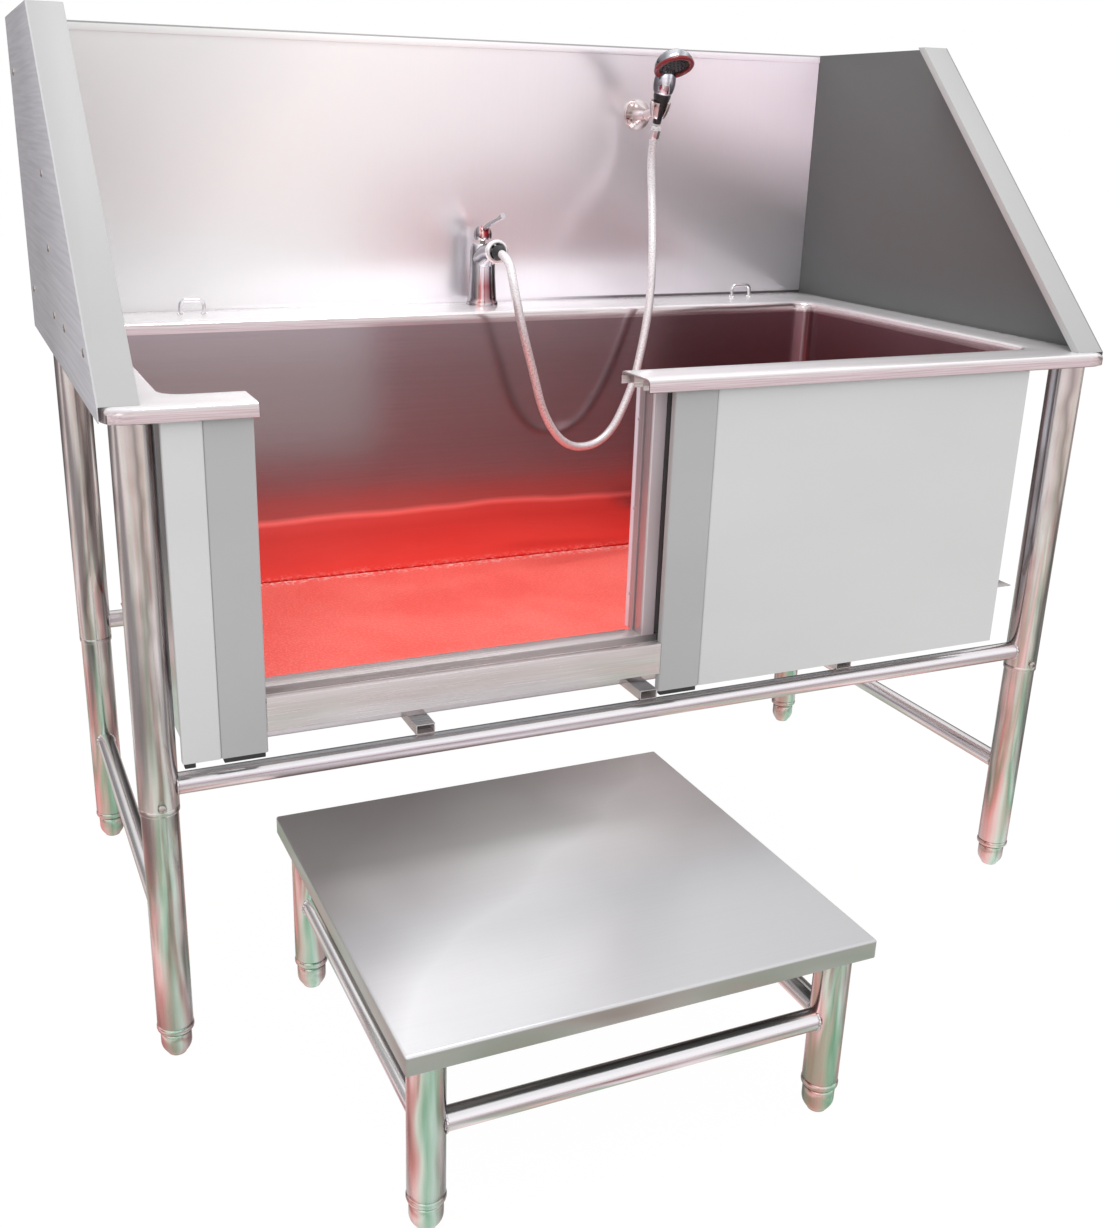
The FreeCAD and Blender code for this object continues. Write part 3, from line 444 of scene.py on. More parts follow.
def basin_sheet(name):
    """Brushed steel inside the basin, with painted reflections: the red mat low on the walls, a painted highlight
    line above it, and darker brownish mauve higher up.
    """
    g = Graph(name)
    streaks = g.noise(4.0, g.stretched((2, 260, 120)), detail=6.0, rough=0.65)
    clouds = g.noise(3.0, g.place, detail=3.0)
    z = g.sum(g.axis("Z"), g.spread(clouds, -0.006, 0.006))
    # Painted reflection along the height: the red mat near the floor, a pale highlight line about a quarter of
    # the way up, and brownish mauve above.
    low_down = g.ramp(g.span(z, FLOOR_TOP, RIM_TOP, 0.0, 1.0), [
        (0, 95, 30, 27), (19, 64, 22, 21), (23.5, 66, 26, 26), (25, 90, 66, 66),
        (27, 42, 31, 32), (50, 34, 27, 28), (80, 36, 30, 31), (100, 44, 39, 41),
    ])
    normal = g.node("ShaderNodeNewGeometry").outputs["Normal"]
    depth = g.sum(g.axis("Y"), -(BASIN_FRONT + BASIN_BACK) / 2)
    outward = g.sum(g.times(g.axis("X", normal), g.axis("X")), g.times(g.axis("Y", normal), depth))
    underside = g.span(g.axis("Z", normal), -0.5, -0.2, 1.0, 0.0)
    outside = g.sum(g.span(outward, 0.0, 0.02, 0.0, 1.0), underside, "MAXIMUM")
    low_down = g.mix(outside, low_down, (0.66, 0.62, 0.63))
    right = g.span(g.axis("X"), 0.05, 0.55, 0.0, 1.0)
    base = g.mix(right, low_down, g.mix(1.0, low_down, (0.90, 0.70, 0.74), "MULTIPLY"))
    base = g.mix(g.spread(streaks, 0, 0.22), base, g.mix(1.0, base, (0.80, 0.74, 0.74), "MULTIPLY"))
    # Painted reflection: in other steel the front wall shows as pale, bluish white and not metallic.
    front_wall_painted_reflection = g.times(g.seen_in_steel(), g.span(g.axis("Y"), -0.105, -0.100, 1.0, 0.0))
    base = g.mix(front_wall_painted_reflection, base, (0.80, 0.88, 0.92))
    roughness = g.span(z, 0.45, 0.60, 0.14, 0.20)
    return g.done(Base_Color=base, Metallic=g.span(front_wall_painted_reflection, 0, 1, 1.0, 0.0),
                  Roughness=g.sum(roughness, g.spread(streaks, -0.02, 0.03)),
                  Normal=g.bump(streaks, 0.06, 0.0006))


def rim_sheet(name):
    """The rolled rim and the deck: near-white steel above, and painted shade that makes the outer lip pinkish and
    darker.
    """
    g = Graph(name)
    streaks = g.noise(4.0, g.stretched((3, 200, 200)), detail=5.0)
    # Painted shade: the outer lip below the top is darker and pinkish.
    lip = g.span(g.axis("Z"), RIM_TOP - 0.0045, RIM_TOP - 0.0005, 1.0, 0.0)
    top = g.mix(g.spread(streaks, 0, 0.3), (0.98, 0.965, 0.98), (0.90, 0.84, 0.87))
    side = g.mix(g.spread(streaks, 0, 1), (0.60, 0.50, 0.50), (0.78, 0.69, 0.70))
    return g.done(Base_Color=g.mix(lip, top, side), Metallic=g.span(lip, 0, 1, 0.45, 1.0),
                  Roughness=g.spread(streaks, 0.14, 0.22), Normal=g.bump(streaks, 0.04, 0.0005))


def stool_sheet(name):
    """The stool's top: fine brushed steel under a painted reflection, dark by its back left corner with a bright
    band across it, and painted shade on its darker folded edge.
    """
    g = Graph(name)
    streaks = g.noise(4.0, g.stretched((2.5, 300, 300)), detail=5.0, rough=0.6)
    clouds = g.noise(4.0, g.place, detail=2.0)
    left, right = low("stool_top").x, high("stool_top").x
    front, back = low("stool_top").y, high("stool_top").y
    slant = g.sum(g.span(g.axis("X"), left, right, 0.0, 0.5), g.span(g.axis("Y"), back, front, 0.0, 0.5))
    slant = g.sum(slant, g.spread(clouds, -0.04, 0.04))
    # Painted reflection across the top: dark at the back left corner, a bright band, then mid grey.
    tone = g.ramp(slant, [(0, 36, 35, 35.5), (18, 38, 37, 37.5), (36, 66, 65, 66.5),
                          (48, 93, 93, 95), (66, 72, 72, 73.5), (100, 66, 66, 67.5)])
    tone = g.mix(g.spread(streaks, 0, 0.06), tone, (0.30, 0.30, 0.30))
    # Painted shade: the folded edge below the top is darker.
    edge = g.span(g.axis("Z"), high("stool_top").z - 0.003, high("stool_top").z - 0.001, 1.0, 0.0)
    base = g.mix(edge, tone, (0.40, 0.40, 0.37))
    return g.done(Base_Color=base, Metallic=g.span(edge, 0, 1, 0.55, 0.7),
                  Roughness=g.spread(streaks, 0.28, 0.31), Normal=g.bump(streaks, 0.012, 0.0003))


def around(g, one, other, start):
    """How far round an axis a surface faces, 0 to 1, counted from a start given in turns."""
    turn = g.times(g.sum(one, other, "ARCTAN2"), 1 / (2 * math.pi))
    return g.sum(g.sum(turn, 2.0 - start), 1.0, "MODULO")


def polished_tube(name, upright=True):
    """Drawn tube with painted reflections: long streaks of dark, white, pink and green painted round it by which
    way the surface faces, tinted more lower down.
    """
    g = Graph(name)
    normal = g.node("ShaderNodeNewGeometry").outputs["Normal"]
    nx, ny, nz = (g.axis(letter, normal) for letter in "XYZ")
    if upright:
        girth = around(g, ny, nx, 0.424)
        drift = g.noise(1.0, g.stretched((9, 9, 4.5)), detail=3.0, rough=0.6)
        girth = g.sum(girth, g.spread(drift, -0.075, 0.075))
        # Painted reflections round upright tubes: dark outlines, white highlights, pink and green streaks, greyer
        # above and tinted below.
        upper = [(0, 16, 13, 14), (7, 40, 33, 33), (13, 86, 81, 84), (19, 95, 92, 94),
                 (25, 70, 60, 60), (30, 36, 27, 27), (34.5, 78, 66, 65), (40, 92, 87, 87),
                 (44, 40, 31, 30), (49, 10, 7.5, 8), (60, 62, 55, 55), (72, 90, 87, 88),
                 (84, 46, 39, 39), (100, 16, 13, 14)]
        lower = [(0, 20, 17, 17), (6, 50, 36, 34), (13, 74, 36, 33), (19, 80, 52, 49),
                 (24, 62, 68, 58), (30, 34, 55, 42), (35, 52, 66, 58), (40, 42, 36, 34),
                 (45, 14, 10, 10), (50, 8, 6, 6), (60, 62, 48, 47), (72, 58, 68, 60),
                 (84, 55, 40, 39), (100, 20, 17, 17)]
        height = g.sum(g.axis("Z"), g.spread(drift, -0.08, 0.08))
        base = g.mix(g.span(height, 0.18, 0.48, 1.0, 0.12), g.ramp(girth, upper), g.ramp(girth, lower))
    else:
        girth = around(g, nz, g.sum(nx, ny), 0.17)
        drift = g.noise(3.0, g.place, detail=3.0)
        girth = g.sum(girth, g.spread(drift, -0.015, 0.015))
        # Painted reflections round rails: a dark top line, a white highlight band, mauve and pink, and a dark
        # lower edge.
        base = g.ramp(girth, [
            (0, 6, 5, 5), (6, 10, 8, 8), (10, 72, 68, 68), (17, 97, 96, 97),
            (27, 92, 89, 92), (31, 50, 43, 47), (36, 80, 72, 75), (42, 84, 66, 66),
            (47, 28, 22, 22), (50, 12, 9, 9), (75, 66, 60, 60), (100, 6, 5, 5)])
    lines = g.noise(1.0, g.stretched((260, 260, 3) if upright else (9, 9, 260)), detail=4.0)
    base = g.mix(g.spread(lines, 0, 0.18), base, (0.92, 0.90, 0.90))
    return g.done(Base_Color=base, Metallic=0.9, Roughness=g.spread(lines, 0.14, 0.24),
                  Normal=g.bump(lines, 0.05, 0.0004))


def mirror_chrome(name, stops, rough=0.06, painted_red_reflection=None):
    """Chrome with painted reflections: a dark outline and light and dark flank streaks, set by which way the
    surface faces.
    """
    g = Graph(name)
    wear = g.noise(60.0, g.place, detail=5.0)
    normal = g.node("ShaderNodeNewGeometry").outputs["Normal"]
    across = g.sum(g.times(g.axis("X", normal), 0.917), g.times(g.axis("Y", normal), -0.398))
    across = g.sum(g.span(across, -1, 1, 0, 1), g.spread(wear, -0.012, 0.012))
    base = g.ramp(across, stops)
    if painted_red_reflection:
        # Painted red reflection, on the low part of the body and on the handle, except at the front.
        reach = g.times(g.span(g.axis("Y"), TAP.y - 0.026, TAP.y - 0.020, 0.0, 1.0),
                        g.sum(g.span(g.axis("Z"), RIM_TOP + 0.030, RIM_TOP + 0.055, 1.0, 0.0),
                              g.span(g.axis("Z"), RIM_TOP + 0.098, RIM_TOP + 0.106, 0.0, 1.0)))
        base = g.mix(reach, base, g.ramp(across, painted_red_reflection))
    return g.done(Base_Color=base, Metallic=1.0, Roughness=g.spread(wear, rough, rough + 0.06))


def outlet_chrome(name):
    """The outlet ring: white chrome, with painted shade that makes it black in its bore."""
    g = Graph(name)
    x, z = g.sum(g.axis("X"), -TAP.x), g.sum(g.axis("Z"), -middle("outlet_ring").z)
    across = g.sum(g.sum(g.times(x, x), g.times(z, z)), 0.5, "POWER")
    wear = g.noise(60.0, g.place, detail=4.0)
    # Painted shade: black inside the bore.
    bore = g.span(across, 0.0126, 0.0130, 1.0, 0.0)
    ring = g.mix(g.spread(wear, 0, 0.3), (0.97, 0.96, 0.97), (0.88, 0.86, 0.88))
    return g.done(Base_Color=g.mix(bore, ring, (0.008, 0.008, 0.008)), Metallic=g.span(bore, 0, 1, 0.55, 0.0),
                  Roughness=g.span(bore, 0, 1, 0.14, 0.6))


def glossy_metal(name, colour, rough=0.07):
    g = Graph(name)
    wear = g.noise(60.0, g.place, detail=5.0)
    base = g.mix(g.span(wear, 0.35, 0.65, 0, 0.25), colour, tuple(c * 0.86 for c in colour))
    return g.done(Base_Color=base, Metallic=1.0, Roughness=g.spread(wear, rough, rough + 0.07),
                  Normal=g.bump(wear, 0.03, 0.0003))


def moulded(name, colour, rough=0.35, grain=900.0):
    g = Graph(name)
    skin = g.noise(grain, g.place, detail=2.0)
    clouds = g.noise(30.0, g.place)
    base = g.mix(g.spread(clouds, 0, 0.35), colour, tuple(min(1, c * 1.35 + 0.01) for c in colour))
    return g.done(Base_Color=base, Roughness=g.spread(clouds, rough - 0.06, rough + 0.08),
                  Normal=g.bump(skin, 0.12, 0.0003))


def mat_rubber(name):
    """Red rubber with a raised pebble grain, lighter on the tops of the pebbles and darker between them, with a
    painted glint along its back edge.
    """
    g = Graph(name)
    cells = g.node("ShaderNodeTexVoronoi", feature="F1")
    g.feed(cells.inputs["Vector"], g.place)
    cells.inputs["Scale"].default_value = 240.0
    pebble = g.span(cells.outputs["Distance"], 0.0, 0.6, 1.0, 0.0)
    clouds = g.noise(9.0, g.place, detail=4.0)
    deep, face, rubbed = (0.92, 0.11, 0.09), (1.0, 0.19, 0.15), (1.0, 0.30, 0.25)
    base = g.mix(g.span(pebble, 0.1, 0.9, 0, 1), deep, face)
    base = g.mix(g.span(clouds, 0.35, 0.65, 0, 0.2), base, rubbed)
    # Painted highlight: a pale glint along the mat's back edge.
    painted_glint = g.span(g.noise(190.0, g.place, detail=2.0), 0.50, 0.62, 0.0, 0.75)
    back_edge = g.span(g.axis("Y"), BASIN_BACK - 0.030, BASIN_BACK - 0.008, 0.0, 1.0)
    base = g.mix(g.times(painted_glint, back_edge), base, (1.0, 0.80, 0.77))
    # Painted reflection: in other steel the mat shows greyer the farther off it is seen.
    ray = g.node("ShaderNodeLightPath").outputs
    far = g.times(ray["Is Glossy Ray"], g.span(ray["Ray Length"], 0.50, 0.75, 0.0, 0.8))
    base = g.mix(far, base, (0.80, 0.74, 0.77))
    return g.done(Base_Color=base, Roughness=g.spread(clouds, 0.42, 0.62),
                  Normal=g.bump(pebble, 0.5, 0.0012))


def hose_skin(name):
    """A silver hose with a fine wound rib, under a clear skin."""
    g = Graph(name)
    rib = g.noise(700.0, g.place, detail=1.0)
    drift = g.noise(14.0, g.place)
    base = g.mix(g.spread(drift, 0, 1), (0.83, 0.80, 0.81), (0.72, 0.69, 0.71))
    return g.done(Base_Color=base, Metallic=0.35, Roughness=g.spread(rib, 0.22, 0.36),
                  Coat_Weight=0.5, Coat_Roughness=0.15, Normal=g.bump(rib, 0.2, 0.0003))


def jamb_sheet(name):
    """The door posts: a painted highlight in a bright strip on the inner corner, painted light on the front face,
    and mauve steel beside them.
    """
    g = Graph(name)
    streaks = g.noise(1.0, g.stretched((260, 260, 3)), detail=5.0)
    drift = g.noise(6.0, g.stretched((1, 1, 0.6)), detail=2.0)
    y = g.axis("Y")
    face = g.mix(g.span(drift, 0.35, 0.65, 0, 1), (0.40, 0.33, 0.35), (0.58, 0.48, 0.48))
    face = g.mix(g.spread(streaks, 0, 0.5), face, (0.66, 0.58, 0.60))
    # Painted highlight: a bright strip along the inner corner.
    corner = g.span(y, high("door_jambs").y - 0.015, high("door_jambs").y - 0.012, 0.0, 1.0)
    face = g.mix(corner, face, (0.93, 0.91, 1.0))
    # Painted light: the front face is lighter than the steel beside it.
    front = g.span(y, low("door_jambs").y + 0.0005, low("door_jambs").y + 0.0015, 1.0, 0.0)
    face = g.mix(front, face, g.mix(g.span(drift, 0.35, 0.65, 0, 1), (0.78, 0.68, 0.72), (0.66, 0.52, 0.52)))
    plain = g.sum(corner, front, "MAXIMUM")
    return g.done(Base_Color=face, Metallic=g.span(plain, 0, 1, 0.35, 0.10), Roughness=0.26,
                  Normal=g.bump(streaks, 0.04, 0.0004))


def splash_sheet(name):
    """The splash back: matt film to the left with a painted reflection of the left guard, grey then white, and
    pinkish brushed steel to the right.
    """
    g = Graph(name)
    streaks = g.noise(4.0, g.stretched((120, 400, 2.5)), detail=6.0, rough=0.65)
    clouds = g.noise(3.0, g.place, detail=3.0)
    slant = g.sum(g.axis("X"), g.times(g.axis("Z"), -0.77))
    along = g.sum(g.span(slant, -1.45, -0.10, 0.0, 1.0), g.spread(clouds, -0.015, 0.015))
    # Painted reflection of the left guard: grey towards the upper left, white down and to the right.
    tone = g.ramp(along, [
        (0, 80, 82, 82), (12, 86, 88, 88), (27, 100, 100, 100), (36, 100, 99.5, 100),
        (60, 100, 97, 100), (80, 100, 96, 100), (100, 100, 97, 100),
    ])
    brushing = g.times(g.spread(streaks, 0, 0.05), g.span(along, 0.3, 0.5, 0.1, 1.0))
    base = g.mix(brushing, tone, (0.62, 0.52, 0.56))
    seam = g.times(g.span(g.axis("Z"), RIM_TOP + 0.0025, RIM_TOP + 0.0035, 1.0, 0.0),
                   g.span(g.axis("X"), 0.12, 0.28, 0.0, 0.85))
    base = g.mix(seam, base, (0.10, 0.08, 0.09))
    top_edge = g.span(g.axis("Z"), GUARD_TOP - 0.0026, GUARD_TOP - 0.0020, 0.0, 0.75)
    base = g.mix(top_edge, base, (0.22, 0.22, 0.22))
    bare = g.span(along, 0.30, 0.55, 0.02, 0.70)
    g.shader.inputs["Specular IOR Level"].default_value = 0.2
    return g.done(Base_Color=base, Metallic=bare, Roughness=g.spread(streaks, 0.275, 0.29),
                  Normal=g.bump(streaks, 0.004, 0.0002))


MATERIALS = {
    "splash_back_steel": splash_sheet("splash_back_steel"),
    "guard_light_steel": guard_sheet("guard_light_steel", -1.0, (0.58, 0.58, 0.58), (0.51, 0.51, 0.51)),
    "guard_dark_steel": guard_sheet("guard_dark_steel", 1.0, (0.150, 0.155, 0.155), (0.49, 0.49, 0.49)),
    "basin_steel": basin_sheet("basin_steel"),
    "rim_steel": rim_sheet("rim_steel"),
    "panel_light_steel": satin_film("panel_light_steel", (0.62, 0.62, 0.62)),
    "strip_grey_steel": satin_film("strip_grey_steel", (0.44, 0.435, 0.437)),
    "sill_steel": brushed("sill_steel", (0.70, 0.655, 0.65), 0.24, grain=(3, 200, 200), tint=(0.62, 0.57, 0.57),
                          strength=0.05, metal=0.6),
    "tube_steel": polished_tube("tube_steel"),
    "foot_steel": polished_tube("foot_steel"),
    "screw_steel": glossy_metal("screw_steel", (0.55, 0.50, 0.47), 0.2),
    "stool_top_steel": stool_sheet("stool_top_steel"),
    "black_rubber": moulded("black_rubber", (0.02, 0.02, 0.021), 0.55),
    "black_plastic": moulded("black_plastic", (0.016, 0.016, 0.018), 0.25),
    "red_mat_rubber": mat_rubber("red_mat_rubber"),
    "red_plastic": moulded("red_plastic", (0.20, 0.010, 0.014), 0.18),
    "chrome": glossy_metal("chrome", (0.86, 0.85, 0.86)),
    # The colour stops of the three chromes below are painted reflections.
    "dark_chrome": mirror_chrome("dark_chrome", [
        (0, 3, 3, 3.5), (10, 16, 16, 18), (22, 30, 30, 33), (36, 85, 85, 90),
        (50, 95, 95, 100), (60, 45, 46, 50), (72, 80, 82, 86), (84, 14, 14, 16),
        (100, 3, 3, 3.5)]),
    "bracket_chrome": mirror_chrome("bracket_chrome", [
        (0, 30, 24, 24), (12, 92, 86, 86), (26, 46, 36, 34), (45, 62, 52, 50),
        (56, 100, 96, 96), (70, 92, 84, 82), (86, 52, 40, 38), (100, 22, 17, 17)], 0.1),
    "brass": glossy_metal("brass", (0.34, 0.29, 0.22), 0.3),
    "hose_silver": hose_skin("hose_silver"),
    "jamb_steel": jamb_sheet("jamb_steel"),
    "rail_tube_steel": polished_tube("rail_tube_steel", upright=False),
    "mixer_chrome": mirror_chrome("mixer_chrome", [
        (0, 14, 14, 15), (8, 55, 55, 57), (15, 16, 15, 17), (25, 46, 44, 46),
        (34, 95, 94, 96), (55, 100, 98, 100), (66, 72, 70, 73), (80, 42, 40, 43),
        (87, 85, 82, 85), (93, 10, 9, 10), (100, 4, 4, 4)],
        painted_red_reflection=[(0, 14, 14, 15), (8, 50, 48, 50), (15, 14, 12, 14), (30, 40, 36, 38),
              (36, 90, 66, 64), (44, 55, 14, 14), (52, 85, 66, 66), (60, 50, 8, 9),
              (70, 28, 2, 3), (80, 16, 1.5, 2), (87, 50, 32, 34), (93, 6, 3, 3),
              (100, 3, 2, 2)]),
    "outlet_chrome": outlet_chrome("outlet_chrome"),
}


def dress_frame():
    """Gives every CAD node that still shows the material of its slot."""
    for part in frame["record"]["subparts"]:
        data = frame["nodes"][part["node"]].data
        data.materials.clear()
        data.materials.append(MATERIALS[part["material_slot"]])


dress_frame()


# ---------------------------------------------------------------- hose

# The same corners as the CAD tube's route, in order from the mixer to the handset.
HOSE_ROUTE = [Vector(p) / 1000 for p in (
    (22, 432, 866), (22, 390, 861), (12, 346, 823), (23, 336, 761), (42, 341, 705), (66, 343, 623),
    (112, 346, 571), (183, 355, 580), (228, 365, 661), (246, 374, 721), (264, 387, 792), (277, 412, 861),
    (290, 442, 909), (302, 471, 954), (306, 488.852, 1008.135), (306, 475, 1052),
)]
HOSE_RADIUS = 0.0065
HANG = HOSE_ROUTE[-1]
LEAN = Vector((0, -0.3, 0.95)).normalized()


def hose_line():
    """Points along the smooth line that the route's corners control."""
    curve = bpy.data.curves.new("hose_line", "CURVE")
    curve.dimensions = "3D"
    curve.resolution_u = 24
    spline = curve.splines.new("NURBS")
    spline.points.add(len(HOSE_ROUTE) - 1)
    for point, place in zip(spline.points, HOSE_ROUTE):
        point.co = (*place, 1)
    spline.order_u = 3
    spline.use_endpoint_u = True
    holder = bpy.data.objects.new("hose_line", curve)
    bpy.context.scene.collection.objects.link(holder)
    bpy.context.view_layer.update()
    mesh = bpy.data.meshes.new_from_object(holder.evaluated_get(bpy.context.evaluated_depsgraph_get()))
    points = [v.co.copy() for v in mesh.vertices]
    bpy.data.objects.remove(holder)
    bpy.data.meshes.remove(mesh)
    return points


def make_hose():
    """The hose with its two end nuts, hung between the mixer's outlet and the handset."""
    line = hose_line()
    hose = sweep("hose", line, HOSE_RADIUS, 24)
    hose.data.materials.append(MATERIALS["hose_silver"])
    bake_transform(hose)
    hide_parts("shower_hose")
    out = (HOSE_ROUTE[1] - HOSE_ROUTE[0]).normalized()
    mixer_nut = revolve("spout_nut", mm(
        (6.6, -0.5), (10.8, -0.4), (11.4, 0.4), (11.3, 2), (10.2, 6), (8.6, 10.8), (7.4, 13.5), (6.6, 13.8)),
        HOSE_ROUTE[0], out, 48)
    close_ring(mixer_nut)
    settle(sharpen(mixer_nut, 40), "tub", "black_rubber", "hose_nut_mixer")
    handset_nut = revolve("handset_nut", mm(
        (6.7, -20), (7.6, -19.8), (8, -18), (9.2, -6), (9, -4.4), (6.7, -4)), HANG, LEAN, 8)
    close_ring(handset_nut)
    settle(bevelled(handset_nut, 0.0006, 2, 20), "handset", "chrome", "hose_nut_handset")
    return hose


make_hose()


# ---------------------------------------------------------------- bath shell

CORNER = 0.030          # inside radius of the basin's upright corners
BEND = 0.0075           # bend radius where the wall turns out into the rim
NOSE = 0.007            # bend radius along the rim's outer edge
SHEET = 0.0015
POST_LEFT, POST_RIGHT = low("door_jambs").x, high("door_jambs").x
DOORWAY_LEFT, DOORWAY_RIGHT = -0.492, -0.045


def shell_stages():
    """The sheet from the basin floor up, over the rim and down its lip.

    Each stage holds (distance out from the basin wall, height) for the front, the ends and the
    back, and the power that squares the corners.
    """
    front, side = BASIN_FRONT - RIM_FRONT, RIM_SIDE - BASIN_SIDE
    back = high("rim_back_deck").y - BASIN_BACK - 0.0003
    levels = (FLOOR_TOP, SILL_TOP - SHEET, 0.60, 0.70, RIM_LOW, RIM_TOP - BEND)
    stages = [((0, z),) * 3 + (2.0,) for z in levels]
    for step in range(1, 5):
        angle = math.radians(22.5 * step)
        spot = (BEND * (1 - math.cos(angle)), RIM_TOP - BEND + BEND * math.sin(angle))
        stages.append((spot,) * 3 + (2.0 + 0.2 * step,))
    for share, power in ((0.35, 4.0), (0.7, 7.0), (1.0, 10.0)):
        flat = [BEND + (wide - NOSE - BEND) * share for wide in (front, side, back)]
        stages.append(tuple((u, RIM_TOP) for u in flat) + (power,))
    for step in range(1, 5):
        angle = math.radians(22.5 * step)
        out, drop = NOSE * math.sin(angle), NOSE * (1 - math.cos(angle))
        stages.append(tuple((wide - NOSE + out, RIM_TOP - drop) for wide in (front, side, back)) + (10.0,))
    stages.append(tuple((wide, RIM_LOW + 0.001) for wide in (front, side, back)) + (10.0,))
    stages.append(tuple((wide - 0.0012, RIM_LOW) for wide in (front, side, back)) + (10.0,))
    return stages


def shell_ring(front, side, back, power, columns, rows, arc=14):
    """One closed ring of points at a stage, from the front's left end round to the left end's front."""
    reach_x, near_y, far_y = BASIN_SIDE - CORNER, BASIN_FRONT + CORNER, BASIN_BACK - CORNER

    def corner(cx, cy, start, one, two):
        spots = []
        for k in range(1, arc):
            share = k / arc
            turn = math.radians(start + 90 * share)
            a, b = CORNER + one[0], CORNER + two[0]
            quarter = math.radians(90 * share)
            grow = ((math.cos(quarter) / a) ** power + (math.sin(quarter) / b) ** power) ** (-1 / power)
            height = one[1] + (two[1] - one[1]) * share
            spots.append((cx + grow * math.cos(turn), cy + grow * math.sin(turn), height))
        return spots

    ring = [(x, BASIN_FRONT - front[0], front[1]) for x in columns]
    ring += corner(reach_x, near_y, -90, front, side)
    ring += [(BASIN_SIDE + side[0], y, side[1]) for y in rows]
    ring += corner(reach_x, far_y, 0, side, back)
    ring += [(x, BASIN_BACK + back[0], back[1]) for x in reversed(columns)]
    ring += corner(-reach_x, far_y, 90, back, side)
    ring += [(-BASIN_SIDE - side[0], y, side[1]) for y in reversed(rows)]
    ring += corner(-reach_x, near_y, 180, side, front)
    return ring


def make_bath_shell():
    """Basin walls and rim as one pressed sheet, open at the doorway."""
    reach_x = BASIN_SIDE - CORNER
    columns = [-reach_x, POST_LEFT, DOORWAY_LEFT, -0.35, -0.20, DOORWAY_RIGHT, POST_RIGHT, 0.2, 0.4, reach_x]
    span = BASIN_BACK - BASIN_FRONT - 2 * CORNER
    rows = [BASIN_FRONT + CORNER + span * k / 4 for k in range(5)]
    stages = shell_stages()
    rings = [shell_ring(*stage, columns, rows) for stage in stages]
    count = len(rings[0])
    walls = next(i for i, stage in enumerate(stages) if abs(stage[0][1] - RIM_LOW) < 1e-9)
    sill = 1
    points, faces = [p for ring in rings for p in ring], []
    for i in range(len(rings) - 1):
        for k in range(count):
            x = columns[k] if k < len(columns) - 1 else None
            after = columns[k + 1] if k < len(columns) - 1 else None
            if x is not None and sill <= i < walls and x >= POST_LEFT - 1e-6 and after <= POST_RIGHT + 1e-6:
                continue
            if x is not None and i >= walls and x >= DOORWAY_LEFT - 1e-6 and after <= DOORWAY_RIGHT + 1e-6:
                continue
            a, b = i * count, (i + 1) * count
            faces.append((a + k, b + k, b + (k + 1) % count, a + (k + 1) % count))
    cap = columns.index(DOORWAY_LEFT)
    faces.append(tuple(i * count + cap for i in range(walls, len(rings))))
    shell = from_points("bath_shell", points, faces)
    wall = shell.modifiers.new("sheet", "SOLIDIFY")
    wall.thickness = SHEET
    wall.offset = -1
    apply_modifiers(shell)
    sharpen(shell, 40)
    shell.data.materials.clear()
    shell.data.materials.append(MATERIALS["basin_steel"])
    shell.data.materials.append(MATERIALS["rim_steel"])
    for polygon in shell.data.polygons:
        polygon.material_index = 1 if polygon.center.z > RIM_LOW + 0.002 else 0
    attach(shell, "tub")
    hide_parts("basin_walls", "rim_fronts", "rim_ends", "rim_back_deck")
    return shell


make_bath_shell()


# ---------------------------------------------------------------- sheet pieces

def softened(name, node, width, body="tub", degrees=30, slot=None):
    """A copy of a flat-sided node with small rounded edges, shown in its place."""
    data = frame["nodes"][node].data.copy()
    piece = bpy.data.objects.new(name, data)
    bpy.context.scene.collection.objects.link(piece)
    mesh = bmesh.new()
    mesh.from_mesh(data)
    bmesh.ops.remove_doubles(mesh, verts=mesh.verts, dist=1e-5)
    bmesh.ops.dissolve_limit(mesh, angle_limit=math.radians(0.8), verts=mesh.verts, edges=mesh.edges)
    mesh.to_mesh(data)
    mesh.free()
    bevelled(piece, width, 2, degrees)
    slot = slot or next(p["material_slot"] for p in frame["record"]["subparts"] if p["node"] == node)
    return settle(piece, body, slot, node)


for node, width in (
    ("back_splash", 0.0005), ("left_splash", 0.0006), ("right_splash", 0.0006), ("front_panels", 0.0005),
    ("door_strips", 0.0005), ("door_sill", 0.0006), ("door_tracks", 0.0004), ("rubber_stops", 0.0010),
    ("floor_bearers", 0.0006),
):
    softened(node + "_soft", node, width)
for node, width in (
    ("door_skin", 0.0005), ("door_liner", 0.0004), ("door_seal", 0.0010), ("door_glides", 0.0010),
):
    softened(node + "_soft", node, width, "door")


